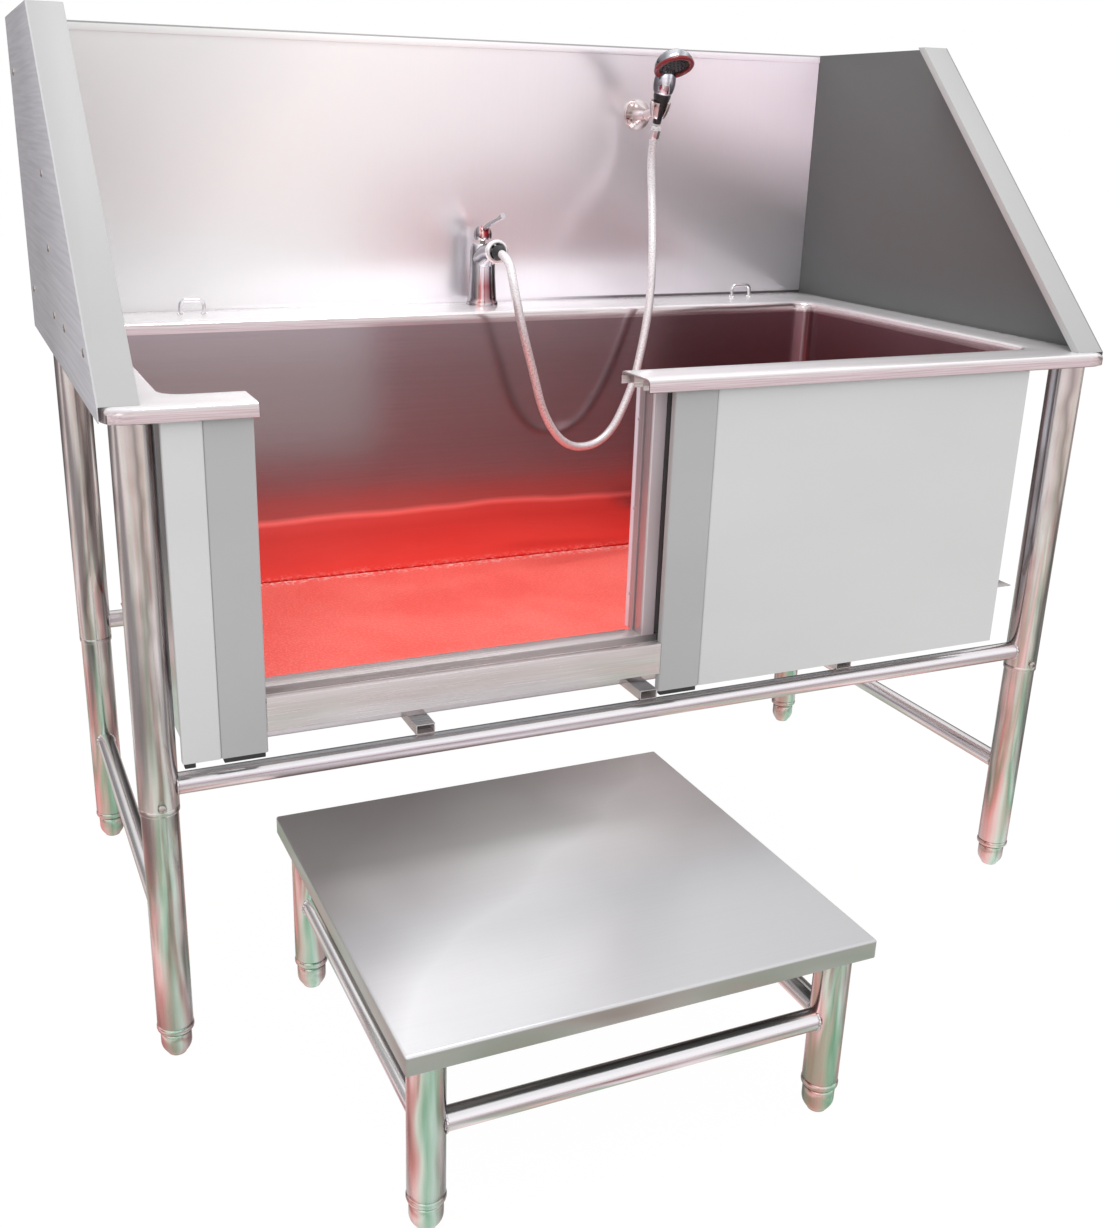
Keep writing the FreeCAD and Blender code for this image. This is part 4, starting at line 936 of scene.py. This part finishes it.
def make_jambs():
    """Door posts folded from sheet: a rounded inner corner, a seal groove and rivets."""
    front, back = low("door_jambs").y, high("door_jambs").y
    foot, top = low("door_jambs").z, high("door_jambs").z
    wide, bend = 0.018, 0.006
    pieces = []
    for side, x_out, sign in (("left", POST_LEFT, 1), ("right", POST_RIGHT, -1)):
        x_in = x_out + sign * wide
        corner = [math.radians(15 * k) for k in range(7)]
        outline = [(x_in - sign * bend * (1 - math.sin(turn)), back - bend * (1 - math.cos(turn)))
                   for turn in corner]
        groove = front + 0.018
        outline += [(x_in - sign * deep, groove + along) for deep, along in mm(
            (0, 6), (0.6, 5.2), (5, 5), (5, 0), (0.6, -0.2), (0, -1))]
        outline += [(x_in, front + 0.002), (x_in - sign * 0.002, front), (x_out, front), (x_out, back)]
        rings = [[Vector((x, y, z)) for x, y in outline] for z in (foot, foot + 0.001, top - 0.001, top)]
        post = rings_to_mesh("post_" + side, rings)
        fix_normals(post)
        pieces.append(post)
        for z in (foot + 0.045, (foot + top) / 2, top - 0.045):
            pieces.append(revolve("rivet", mm(
                (0.1, 1.1), (1.8, 0.9), (2.8, 0), (0.1, -0.4)),
                Vector((x_in, back - 0.014, z)), X * sign, 16))
    jambs = sharpen(joined("door_posts", pieces), 38)
    settle(jambs, "tub", "sill_steel", "door_jambs", finish="jamb_steel")


make_jambs()


def make_pull_cup():
    """A pressed finger recess with rounded corners."""
    a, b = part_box("door_pull_cup")
    front, deep = a.y, b.y - a.y
    outline = []
    radius = 0.010
    for cx, cz, start in ((b.x - radius, b.z - radius, 0), (a.x + radius, b.z - radius, 90),
                          (a.x + radius, a.z + radius, 180), (b.x - radius, a.z + radius, 270)):
        for k in range(7):
            turn = math.radians(start + 15 * k)
            outline.append((cx, cz, math.cos(turn), math.sin(turn)))
    rings = []
    lip = ((0.0, -0.0006), (0.0004, -0.0009), (0.0016, -0.0009), (0.0026, 0.0006))
    floor = ((0.0030, deep - 0.003), (0.0050, deep - 0.001), (0.0080, deep - 0.0008))
    for inset, depth in lip + floor:
        reach = radius - inset
        rings.append([Vector((cx + c * reach, front + depth, cz + s * reach)) for cx, cz, c, s in outline])
    cup = rings_to_mesh("pull_cup", rings)
    fix_normals(cup)
    sharpen(cup, 60)
    settle(cup, "door", "sill_steel", "door_pull_cup")


make_pull_cup()


# ---------------------------------------------------------------- legs, rails and feet

LEG_X, LEG_FRONT, LEG_BACK = 0.614, -0.143, 0.422
TUBE_END = low("leg_lower_tubes").z
JOINT_Z = low("leg_upper_tubes").z
LEG_RADIUS = (high("leg_upper_tubes").x - LEG_X)
LOWER_RADIUS = (high("leg_lower_tubes").x - LEG_X)
RAIL_RADIUS = 0.0125
RAIL_Z_LONG = high("leg_rails").z - RAIL_RADIUS
RAIL_Z_END = low("leg_rails").z + RAIL_RADIUS
STEM_BORE = 0.0083
COLLARS = {
    "foot_inserts": high("foot_inserts").x - middle("foot_front_right").x,
    "stool_foot_inserts": high("stool_foot_inserts").x - middle("stool_foot_front_right").x,
}


def weld(at, along, radius, bead=0.0022, seed=0):
    """A ripple-topped bead round a bar where it meets a post."""
    dice = random.Random(seed)
    side, up = frame_across(along.normalized())
    rings, steps = [], 72
    for k in range(steps):
        angle = 2 * math.pi * k / steps
        ray = spoke(side, up, angle)
        size = bead * (0.85 + 0.22 * math.sin(angle * 17) + 0.12 * dice.random())
        turns = [2 * math.pi * m / 8 for m in range(8)]
        rings.append([at + ray * radius + spoke(ray, along.normalized(), turn) * size for turn in turns])
    piece = rings_to_mesh("weld", rings, close_ends=False, closed_loop=True)
    fix_normals(piece)
    return piece


def bar_between(start, end, radius):
    """A rail whose ends run into the two posts."""
    path = [start.lerp(end, k / 6) for k in range(7)]
    return sweep("bar", path, radius, 28)


def make_rail(start, end, post, seed, let_in=0.75, bead=0.0016, sink=0.0022):
    """A rail between the centres of two posts, let into each of them and welded round."""
    along = (end - start).normalized()
    pieces = [bar_between(start + along * post * let_in, end - along * post * let_in, RAIL_RADIUS)]
    for spot in (start + along * (post - sink), end - along * (post - sink)):
        pieces.append(weld(spot, along, RAIL_RADIUS + 0.0003, bead, seed))
    return pieces


def make_legs():
    upper, lower, beads = [], [], []
    top = RIM_TOP - SHEET - 0.0004
    r, q, joint = LEG_RADIUS, LOWER_RADIUS, JOINT_Z
    for n, (x, y) in enumerate((x, y) for y in (LEG_FRONT, LEG_BACK) for x in (-LEG_X, LEG_X)):
        upper.append(revolve("upper", [
            (r - 0.0012, joint + 0.004), (r - 0.0012, joint + 0.0002), (r - 0.0004, joint), (r, joint + 0.0008),
            (r, joint + 0.0065), (r - 0.0004, joint + 0.0070), (r, joint + 0.0075), (r, top), (0.0001, top),
        ], Vector((x, y, 0)), Z, 56))
        lower.append(revolve("lower", [
            (0.0001, TUBE_END), (q - 0.0006, TUBE_END), (q, TUBE_END + 0.0008), (q, joint + 0.02),
            (0.0001, joint + 0.02),
        ], Vector((x, y, 0)), Z, 56))
        beads.append(weld(Vector((x, y, top - 0.002)), Z, r + 0.0004, 0.0020, seed=n))
    rails = []
    for m, y in enumerate((LEG_FRONT, LEG_BACK)):
        rails += make_rail(Vector((-LEG_X, y, RAIL_Z_LONG)), Vector((LEG_X, y, RAIL_Z_LONG)), r, 10 + m)
    for m, x in enumerate((-LEG_X, LEG_X)):
        rails += make_rail(Vector((x, LEG_FRONT, RAIL_Z_END)), Vector((x, LEG_BACK, RAIL_Z_END)), q, 20 + m)
    settle(sharpen(joined("legs_upper", upper + beads), 40), "tub", "tube_steel", "leg_upper_tubes")
    settle(sharpen(joined("legs_lower", lower), 40), "tub", "tube_steel", "leg_lower_tubes")
    settle(sharpen(joined("rails", rails), 50), "tub", "tube_steel", "leg_rails", finish="rail_tube_steel")


make_legs()


def collar_profile(outer, bore):
    """The rounded collar at a tube's end, bored for the foot's thread."""
    rounded = [(outer - drawn_in, height) for drawn_in, height in mm(
        (1.6, 0), (0.4, 1), (0, 2.6), (0, 5), (0.5, 6.6), (1.6, 7.8))]
    return [(STEM_BORE, 0.0), *rounded, (bore, 0.0080), (bore, 0.0100), (STEM_BORE, 0.0100)]


def bullet_profile(top_radius, tip_radius, top):
    """A bullet foot: a flat pad, a rounded taper, a straight shank and a long threaded stem."""
    points = [(0.0001, 0.0), (tip_radius - 0.003, 0.0)]
    for k in range(1, 6):
        turn = math.radians(18 * k)
        points.append((tip_radius - 0.003 + 0.003 * math.sin(turn), 0.003 - 0.003 * math.cos(turn)))
    slope = [(0.0050, 0.28), (0.0080, 0.58), (0.0110, 0.82), (0.0140, 0.95), (0.0165, 1.0)]
    points += [(tip_radius + (top_radius - tip_radius) * share, z) for z, share in slope]
    points += [(top_radius - drawn_in, z) for drawn_in, z in mm((0, 30.5), (1, 32), (3, 32.7))]
    points.append((0.0073, 0.0330))
    z = 0.0340
    while z < top - 0.0025:
        points += [(0.0079, z), (0.0073, z + 0.00125)]
        z += 0.0025
    return points + [(0.0070, top - 0.0010), (0.0062, top - 0.0002), (0.0001, top - 0.0001)]


def make_feet():
    collars = {"foot_inserts": [], "stool_foot_inserts": []}
    for name in [n for n in frame["nodes"] if n.startswith(("foot_", "stool_foot_")) and "inserts" not in n]:
        centre = middle(name)
        at = Vector((centre.x, centre.y, 0))
        foot = revolve(name + "_bullet", bullet_profile(0.018, 0.0115, high(name).z), at, Z, 48)
        sharpen(foot, 40)
        settle(foot, name, "foot_steel", name)
        key = "stool_foot_inserts" if name.startswith("stool") else "foot_inserts"
        outer = COLLARS[key]
        foot_of_tube = Vector((centre.x, centre.y, low(key).z))
        collar = revolve("collar", collar_profile(outer, outer - 0.003), foot_of_tube, Z, 48)
        close_ring(collar)
        collars[key].append(collar)
    for name, body, key in (("collars", "tub", "foot_inserts"), ("stool_collars", "stool", "stool_foot_inserts")):
        settle(sharpen(joined(name, collars[key]), 40), body, "tube_steel", key, finish="foot_steel")


make_feet()


# ---------------------------------------------------------------- step stool

def make_stool():
    a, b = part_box("stool_top")
    softened("stool_top_soft", "stool_top", 0.0006, "stool")
    radius = 0.020
    inset = middle("stool_foot_front_left").x - a.x
    xs, ys = (a.x + inset, b.x - inset), (a.y + inset, b.y - inset)
    legs, rails = [], []
    top = b.z - 0.0018
    for x in xs:
        for y in ys:
            legs.append(revolve("stool_leg", [
                (0.0001, TUBE_END), (radius - 0.0006, TUBE_END), (radius, TUBE_END + 0.0008), (radius, top),
                (0.0001, top)], Vector((x, y, 0)), Z, 52))
    z = middle("stool_rails").z
    welding = {"let_in": 0.7, "bead": 0.0015, "sink": 0.002}
    for n, y in enumerate(ys):
        rails += make_rail(Vector((xs[0], y, z)), Vector((xs[1], y, z)), radius, 30 + n, **welding)
    for n, x in enumerate(xs):
        rails += make_rail(Vector((x, ys[0], z)), Vector((x, ys[1], z)), radius, 40 + n, **welding)
    settle(sharpen(joined("stool_tubes", legs), 40), "stool", "tube_steel", "stool_legs")
    bars = sharpen(joined("stool_bars", rails), 50)
    settle(bars, "stool", "tube_steel", "stool_rails", finish="rail_tube_steel")


make_stool()


# ---------------------------------------------------------------- mat, drain and loops

def make_mat():
    """A rubber sheet with rounded corners and edges, and its cut-out over the drain."""
    a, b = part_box("floor_mat")
    thick, edge = b.z - a.z, 0.003
    radius, front = 0.028, 0.006    # of the back and the front corners
    drain = middle("drain_plug")
    hole, steps = 0.060, 12

    def outline(inset):
        spots = []
        corners = ((b.x - radius, b.y - radius, radius), (a.x + radius, b.y - radius, radius),
                   (a.x + front, a.y + front, front), (b.x - front, a.y + front, front))
        for quarter, (cx, cy, r) in enumerate(corners):
            for k in range(steps + 1):
                turn = math.radians(90 * quarter + 90 * k / steps)
                spots.append((cx + (r - inset) * math.cos(turn), cy + (r - inset) * math.sin(turn)))
        return spots

    mesh = bmesh.new()
    outer = [(0.0, 0.0), (0.0, thick - edge)]
    for turn in (math.radians(30 * k) for k in (1, 2, 3)):
        outer.append((edge * (1 - math.cos(turn)), thick - edge + edge * math.sin(turn)))
    rings = [[mesh.verts.new((x, y, a.z + z)) for x, y in outline(inset)] for inset, z in outer]
    sides, hole_sides = len(rings[0]), 64
    inner = []
    for inset, z in reversed(outer):
        centre = Vector((drain.x, drain.y, a.z + z))
        turns = [2 * math.pi * k / hole_sides for k in range(hole_sides)]
        inner.append([mesh.verts.new(centre + spoke(X, Y, turn) * (hole + inset)) for turn in turns])
    for first, second in zip(rings, rings[1:]):
        for k in range(sides):
            mesh.faces.new((first[k], first[(k + 1) % sides], second[(k + 1) % sides], second[k]))
    for first, second in zip(inner, inner[1:]):
        for k in range(hole_sides):
            after = (k + 1) % hole_sides
            mesh.faces.new((first[k], second[k], second[after], first[after]))
    for loop_a, loop_b in ((rings[-1], inner[0]), (rings[0], inner[-1])):
        edges = []
        for ring in (loop_a, loop_b):
            edges += [mesh.edges.get((ring[k], ring[(k + 1) % len(ring)])) for k in range(len(ring))]
        bmesh.ops.triangle_fill(mesh, use_beauty=True, edges=edges)
    bmesh.ops.recalc_face_normals(mesh, faces=mesh.faces)
    data = bpy.data.meshes.new("mat")
    mesh.to_mesh(data)
    mesh.free()
    mat = sharpen(link("mat", data), 35)
    settle(mat, "mat", "red_mat_rubber", "floor_mat")


make_mat()


def make_drain():
    at = Vector((middle("drain_plug").x, middle("drain_plug").y, FLOOR_TOP))
    plug = revolve("plug", mm(
        (0.1, -6), (18, -6), (19.5, -4.5), (19.8, 3.3), (23.5, 3.4), (24, 4.2), (22.5, 7), (20, 8.2),
        (6, 9), (5, 10.5), (4.8, 13.8), (7, 16.2), (8, 17.6), (7.6, 19.2), (5, 20), (0.1, 20)), at, Z, 56)
    settle(sharpen(plug, 45), "plug", "black_rubber", "drain_plug")
    flange = revolve("drain_flange", mm(
        (20.5, -14), (28, -14), (28, 0), (41.5, 0), (42, 0.8), (40, 1.8), (30, 3), (25, 3), (22, 2.4),
        (20.5, 0.6)), at, Z, 64)
    close_ring(flange)
    nut = revolve("drain_nut", mm(
        (28.05, -14), (37, -14), (38, -13), (38, -3), (37, -1.6), (28.05, -1.6)), at, Z, 6)
    close_ring(nut)
    settle(sharpen(joined("drain_parts", [flange, nut]), 35), "tub", "chrome", "drain_fittings")


make_drain()


def make_tether_loops():
    """Two bent staples on the deck, each with its weld beads."""
    pieces = []
    a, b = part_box("tether_loops")
    y, bar, half = (a.y + b.y) / 2, 0.003, 0.017
    for n, x in enumerate((a.x + half + bar, b.x - half - bar)):
        path = [Vector((x - half, y, RIM_TOP))]
        bend, peak = 0.008, RIM_TOP + 0.020
        for centre, start in ((x - half + bend, 180), (x + half - bend, 90)):
            for k in range(9):
                turn = math.radians(start - 90 * k / 8)
                path.append(Vector((centre + bend * math.cos(turn), y, peak - bend + bend * math.sin(turn))))
        path.append(Vector((x + half, y, RIM_TOP)))
        pieces.append(sweep("staple", path, bar, 18))
        for sign in (-1, 1):
            foot = Vector((x + sign * half, y, RIM_TOP + 0.0008))
            pieces.append(weld(foot, Z, bar + 0.0004, 0.0012, seed=50 + n))
    settle(sharpen(joined("staples", pieces), 50), "tub", "chrome", "tether_loops")


make_tether_loops()


def make_screws():
    """Pan-head screws on the guards' outer faces and grub screws at the leg joints, each with a round recess in
    its head.
    """
    pieces = []
    data = frame["nodes"]["case_screws"].data
    mesh = bmesh.new()
    mesh.from_mesh(data)
    bmesh.ops.remove_doubles(mesh, verts=mesh.verts, dist=1e-5)
    seen = set()
    for vert in mesh.verts:
        if vert in seen:
            continue
        island, stack = [], [vert]
        seen.add(vert)
        while stack:
            here = stack.pop()
            island.append(here.co.copy())
            for edge in here.link_edges:
                other = edge.other_vert(here)
                if other not in seen:
                    seen.add(other)
                    stack.append(other)
        lows = Vector([min(p[i] for p in island) for i in range(3)])
        highs = Vector([max(p[i] for p in island) for i in range(3)])
        spans = highs - lows
        thin = min(range(3), key=lambda i: spans[i])
        centre = (lows + highs) / 2
        away = Vector((0, 0, 0))
        away[thin] = 1 if centre[thin] > (0 if thin == 0 else 0.14) else -1
        tall, radius = spans[thin], max(spans) / 2
        base = centre - away * tall / 2
        pieces.append(revolve("head", [
            (0.0001, 0.0), (radius, 0.0), (radius, tall * 0.25), (radius * 0.93, tall * 0.6),
            (radius * 0.7, tall * 0.92), (radius * 0.35, tall), (radius * 0.3, tall * 0.6), (0.0001, tall * 0.55),
        ], base, away, 24))
    mesh.free()
    settle(sharpen(joined("screws", pieces), 40), "tub", "screw_steel", "case_screws")


make_screws()


# ---------------------------------------------------------------- mixer

def make_mixer():
    """A bell-shaped body with a short spout, and its outlet ring."""
    column = revolve("column", mm(
        (0.1, 0), (24.3, 0), (25, 1), (25, 3.6), (24, 5.2), (22.8, 6.6), (22.4, 12), (21.4, 26), (20.4, 42),
        (19.9, 56), (19.7, 70), (19.2, 82), (18, 88.5), (16.4, 92.2), (15, 93.6), (13.2, 94), (0.1, 94)),
        TAP, Z, 72)
    end_y, end_z = high("outlet_ring").y, middle("outlet_ring").z
    path = []
    for k in range(17):
        t = k / 16
        y = TAP.y - 0.004 + (end_y - TAP.y + 0.004) * t
        path.append(Vector((TAP.x, y, RIM_TOP + 0.071 + (end_z - RIM_TOP - 0.071) * (1 - (1 - t) ** 1.6))))
    spout = sweep("spout", path, lambda t: 0.0190 - 0.0052 * t ** 0.8, 40)
    casting = sharpen(joined("mixer_casting", [column, spout]), 40)
    settle(casting, "tub", "chrome", "mixer_body", finish="mixer_chrome")
    ring_at = Vector((TAP.x, end_y, end_z))
    ring = revolve("spout_ring", mm(
        (14.2, 0.2), (16, 0.8), (17.6, 2.6), (18, 5), (18, 9), (17.5, 11.3), (16.3, 12.6), (14.6, 13),
        (13.2, 12.7), (12.3, 11.6), (12.1, 9), (12.1, 0.2)), ring_at, -Y, 64)
    close_ring(ring)
    settle(sharpen(ring, 40), "tub", "chrome", "outlet_ring", finish="outlet_chrome")


def lever_radius(share):
    """The lever's radius along its length: it tapers to a slim shank, and swells again at its tip."""
    swell = 0.0019 * max(0.0, (share - 0.78) / 0.22) if share < 0.97 else 0.0012
    return 0.0052 - 0.0026 * min(1.0, share * 1.6) + swell


def make_mixer_handle():
    centre = Vector((TAP.x, TAP.y, TAP_CENTRE_Z))
    dome = revolve("dome", mm(
        (0.1, -8.6), (10.4, -8.8), (12, -8), (13.4, -5.6), (14, -2), (14, 1), (13.4, 4.4), (12, 7.6),
        (9.8, 10.4), (7, 12.4), (4, 13.6), (0.1, 14)), centre, Z, 64)
    start = centre + Vector((0, -0.004, 0.006))
    end = centre + Vector((0, -0.0803, 0.033))
    path = []
    for k in range(20):
        t = k / 19
        spot = start.lerp(end, t)
        spot.z += 0.004 * math.sin(math.pi * t) * (1 - t)
        path.append(spot)
    lever = sweep("lever", path, lever_radius, 24)
    handle = sharpen(joined("lever_handle", [dome, lever]), 42)
    settle(handle, "mixer_handle_lift", "chrome", "mixer_handle", finish="mixer_chrome")


make_mixer()
make_mixer_handle()


# ---------------------------------------------------------------- handset and bracket

FACE = Vector((0, -0.47, -0.88)).normalized()


def make_handset():
    grip = revolve("grip", mm(
        (0.1, 3.6), (5.8, 3.6), (6.4, 4.8), (6.8, 11), (7.6, 18), (9.4, 28), (11.6, 37), (13.2, 44),
        (13.6, 47), (13.2, 49.7), (0.1, 50)), HANG, LEAN, 48)
    settle(sharpen(grip, 45), "handset", "black_plastic", "handset_grip")
    bulb = revolve("bulb", mm(
        (0.1, 50), (13, 50), (14.2, 50.6), (15.6, 54), (16.6, 59), (17.1, 65), (16.9, 70), (16, 76),
        (14.2, 81.5), (11.2, 86.6), (0.1, 90)), HANG, LEAN, 56)
    settle(sharpen(bulb, 45), "handset", "dark_chrome", "handset_body")
    head = HANG + LEAN * 0.098 + Vector((0, -0.014, -0.002))
    casing = revolve("casing", mm(
        (0.1, -16), (6, -15.8), (12, -14.8), (18, -12.4), (23.2, -8.6), (27, -4), (29.2, 0.6), (30, 4),
        (30, 5.6), (29, 6), (0.1, 6)), head, FACE, 72)
    settle(sharpen(casing, 45), "handset", "dark_chrome", "handset_head")
    ring = revolve("red_ring", mm(
        (23.2, 6), (30.4, 6), (31, 7), (31, 9), (30.2, 10.4), (28.5, 11), (25.5, 10.8), (23.8, 9.6),
        (23.2, 8.2)), head, FACE, 72)
    close_ring(ring)
    settle(sharpen(ring, 45), "handset", "red_plastic", "spray_ring")
    plate = [revolve("plate", mm(
        (0.1, 6), (22.8, 6), (22.8, 7.8), (21.5, 8.6), (8, 9.4), (0.1, 9.5)), head, FACE, 64)]
    side, up = frame_across(FACE)
    for count, radius in ((6, 0.0065), (12, 0.0125), (18, 0.0185)):
        for k in range(count):
            angle = 2 * math.pi * k / count
            spot = head + spoke(side, up, angle) * radius
            plate.append(revolve("nozzle", mm(
                (0.1, 7), (1.2, 7.5), (1, 10.3), (0.1, 10.5)), spot, FACE, 10))
    settle(sharpen(joined("nozzles", plate), 45), "handset", "black_plastic", "spray_face")


def make_bracket():
    at = Vector((HANG.x - 0.002, high("bracket_base").y, middle("bracket_base").z))
    base = revolve("bell", mm(
        (0.1, 0), (22.6, 0), (23, 0.8), (23, 2.8), (21.8, 4.6), (19, 7.6), (16, 11.8), (12.8, 17.6),
        (10.6, 24), (9.4, 30), (9, 34), (8.4, 35.8), (0.1, 36)), at, -Y, 64)
    settle(sharpen(base, 40), "tub", "bracket_chrome", "bracket_base")
    steps, open_half = 40, math.radians(34)
    rings = []
    bottom, top = 0.0125, 0.0378
    side, up = X.copy(), LEAN.cross(X).normalized()
    front = -1 if up.y > 0 else 1
    for k in range(steps + 1):
        angle = open_half + (2 * math.pi - 2 * open_half) * k / steps
        ray = spoke(up * front, side, angle)
        taper = 0.35 + 0.65 * min(1.0, min(k, steps - k) / 5)
        r_in_low, r_in_high = 0.0078, 0.0132
        thick = 0.0040 * taper + 0.0006
        mid_low, mid_high = r_in_low + thick / 2, r_in_high + thick / 2
        ring = []
        for m in range(12):
            turn = 2 * math.pi * m / 12
            share = 0.5 + 0.5 * math.sin(turn)
            across = math.cos(turn) * thick / 2
            height, reach = bottom + (top - bottom) * share, mid_low + (mid_high - mid_low) * share + across
            ring.append(HANG + LEAN * height + ray * reach)
        rings.append(ring)
    cup = rings_to_mesh("cup", rings)
    fix_normals(cup)
    cup_back = HANG + LEAN * 0.022 + Vector((0, 0.013, 0))
    arm_end = Vector((at.x, at.y - 0.0355, at.z))
    path = [cup_back.lerp(arm_end, k / 6) for k in range(7)]
    arm = sweep("arm", path, lambda t: 0.0070 + 0.0015 * t, 24)
    settle(sharpen(joined("cradle", [cup, arm]), 45), "tub", "bracket_chrome", "bracket_cradle")


make_handset()
make_bracket()


# ---------------------------------------------------------------- floor and light

def make_stage():
    """White paper underfoot. Polished steel sees the tinted, uneven floor of a workshop in it."""
    size = 12.0
    floor = from_points("floor", [(-size, -size, 0), (size, -size, 0), (size, size, 0), (-size, size, 0)],
                        [(0, 1, 2, 3)], smooth=False)
    g = Graph("floor_paper")
    tree = g.tree
    patches = g.noise(2.4, g.stretched((1.0, 0.6, 1.0)), detail=3.0, rough=0.6)
    seen = g.ramp(patches, [
        (30, 6, 5, 5.5), (39, 62, 36, 34), (45.5, 100, 97, 98), (53, 34, 50, 37),
        (60, 88, 54, 53), (70, 100, 100, 100),
    ])
    x, y = g.axis("X"), g.axis("Y")
    aside = g.times(g.span(g.sum(x, 0.0, "ABSOLUTE"), 0.75, 1.0, 0.0, 0.88),
                    g.span(g.sum(y, 0.0, "ABSOLUTE"), 0.30, 0.75, 1.0, 0.0))
    seen = g.mix(aside, seen, (0.07, 0.05, 0.055))
    seen = g.mix(g.span(y, 0.9, 1.8, 0.0, 0.88), seen, (0.05, 0.045, 0.05))
    seen = g.mix(g.span(y, -4.5, -2.0, 1.0, 0.0), seen, (0.93, 0.86, 0.90))
    paper = g.mix(g.seen_in_steel(), (1.0, 1.0, 1.0), seen)
    glow = g.node("ShaderNodeEmission")
    g.feed(glow.inputs["Color"], paper)
    glow.inputs["Strength"].default_value = 0.975
    cover = g.node("ShaderNodeBsdfDiffuse")
    cover.inputs["Color"].default_value = (0.04, 0.04, 0.04, 1)
    both = g.node("ShaderNodeAddShader")
    tree.links.new(glow.outputs[0], both.inputs[0])
    tree.links.new(cover.outputs[0], both.inputs[1])
    tree.links.new(both.outputs[0], tree.nodes["Material Output"].inputs["Surface"])
    floor.data.materials.append(g.material)


def area_light(name, at, towards, width, height, power, colour=(1, 1, 1), spread=math.pi):
    data = bpy.data.lights.new(name, "AREA")
    data.shape = "RECTANGLE"
    data.size, data.size_y, data.energy, data.color, data.spread = width, height, power, colour, spread
    lamp = bpy.data.objects.new(name, data)
    lamp.location = at
    lamp.rotation_mode = "QUATERNION"
    lamp.rotation_quaternion = (Vector(at) - Vector(towards)).to_track_quat("Z", "Y")
    bpy.context.scene.collection.objects.link(lamp)


def make_world():
    """A white room. In steel its walls are pinkish grey low down and dark behind the bath."""
    world = bpy.data.worlds.new("world")
    bpy.context.scene.world = world
    world.use_nodes = True
    g = Graph(world=world)
    y, height = g.axis("Y"), g.axis("Z")
    wall = g.ramp(g.span(height, -0.3, 0.7, 0.0, 1.0), [
        (0, 90, 82, 85), (20, 95, 88, 92), (26, 84, 76, 81), (36, 100, 97, 100), (75, 100, 100, 100),
        (100, 86, 86, 88)])
    low_down = g.span(height, 0.25, 0.45, 1.0, 0.0)
    behind = g.times(g.span(y, 0.45, 0.80, 0.0, 0.85), low_down)
    wall = g.mix(behind, wall, (0.05, 0.045, 0.05))
    beside = g.times(g.span(g.sum(y, 0.0, "ABSOLUTE"), 0.12, 0.38, 0.8, 0.0), low_down)
    wall = g.mix(beside, wall, (0.10, 0.08, 0.085))
    backdrop = g.tree.nodes["Background"]
    g.feed(backdrop.inputs["Color"], g.mix(g.seen_in_steel(), (1.0, 1.0, 1.0), wall))
    backdrop.inputs["Strength"].default_value = 1.0


def make_light():
    make_world()
    area_light("over_basin", (0.0, 0.14, 2.4), (0.0, 0.14, 0.4), 0.8, 0.4, 3.0, spread=1.1)
    area_light("key", (-2.4, -2.8, 2.6), (0, 0, 0.6), 1.6, 1.6, 6)
    bpy.context.scene.view_settings.view_transform = "Standard"
    bpy.context.scene.view_settings.look = "None"


make_stage()
make_light()
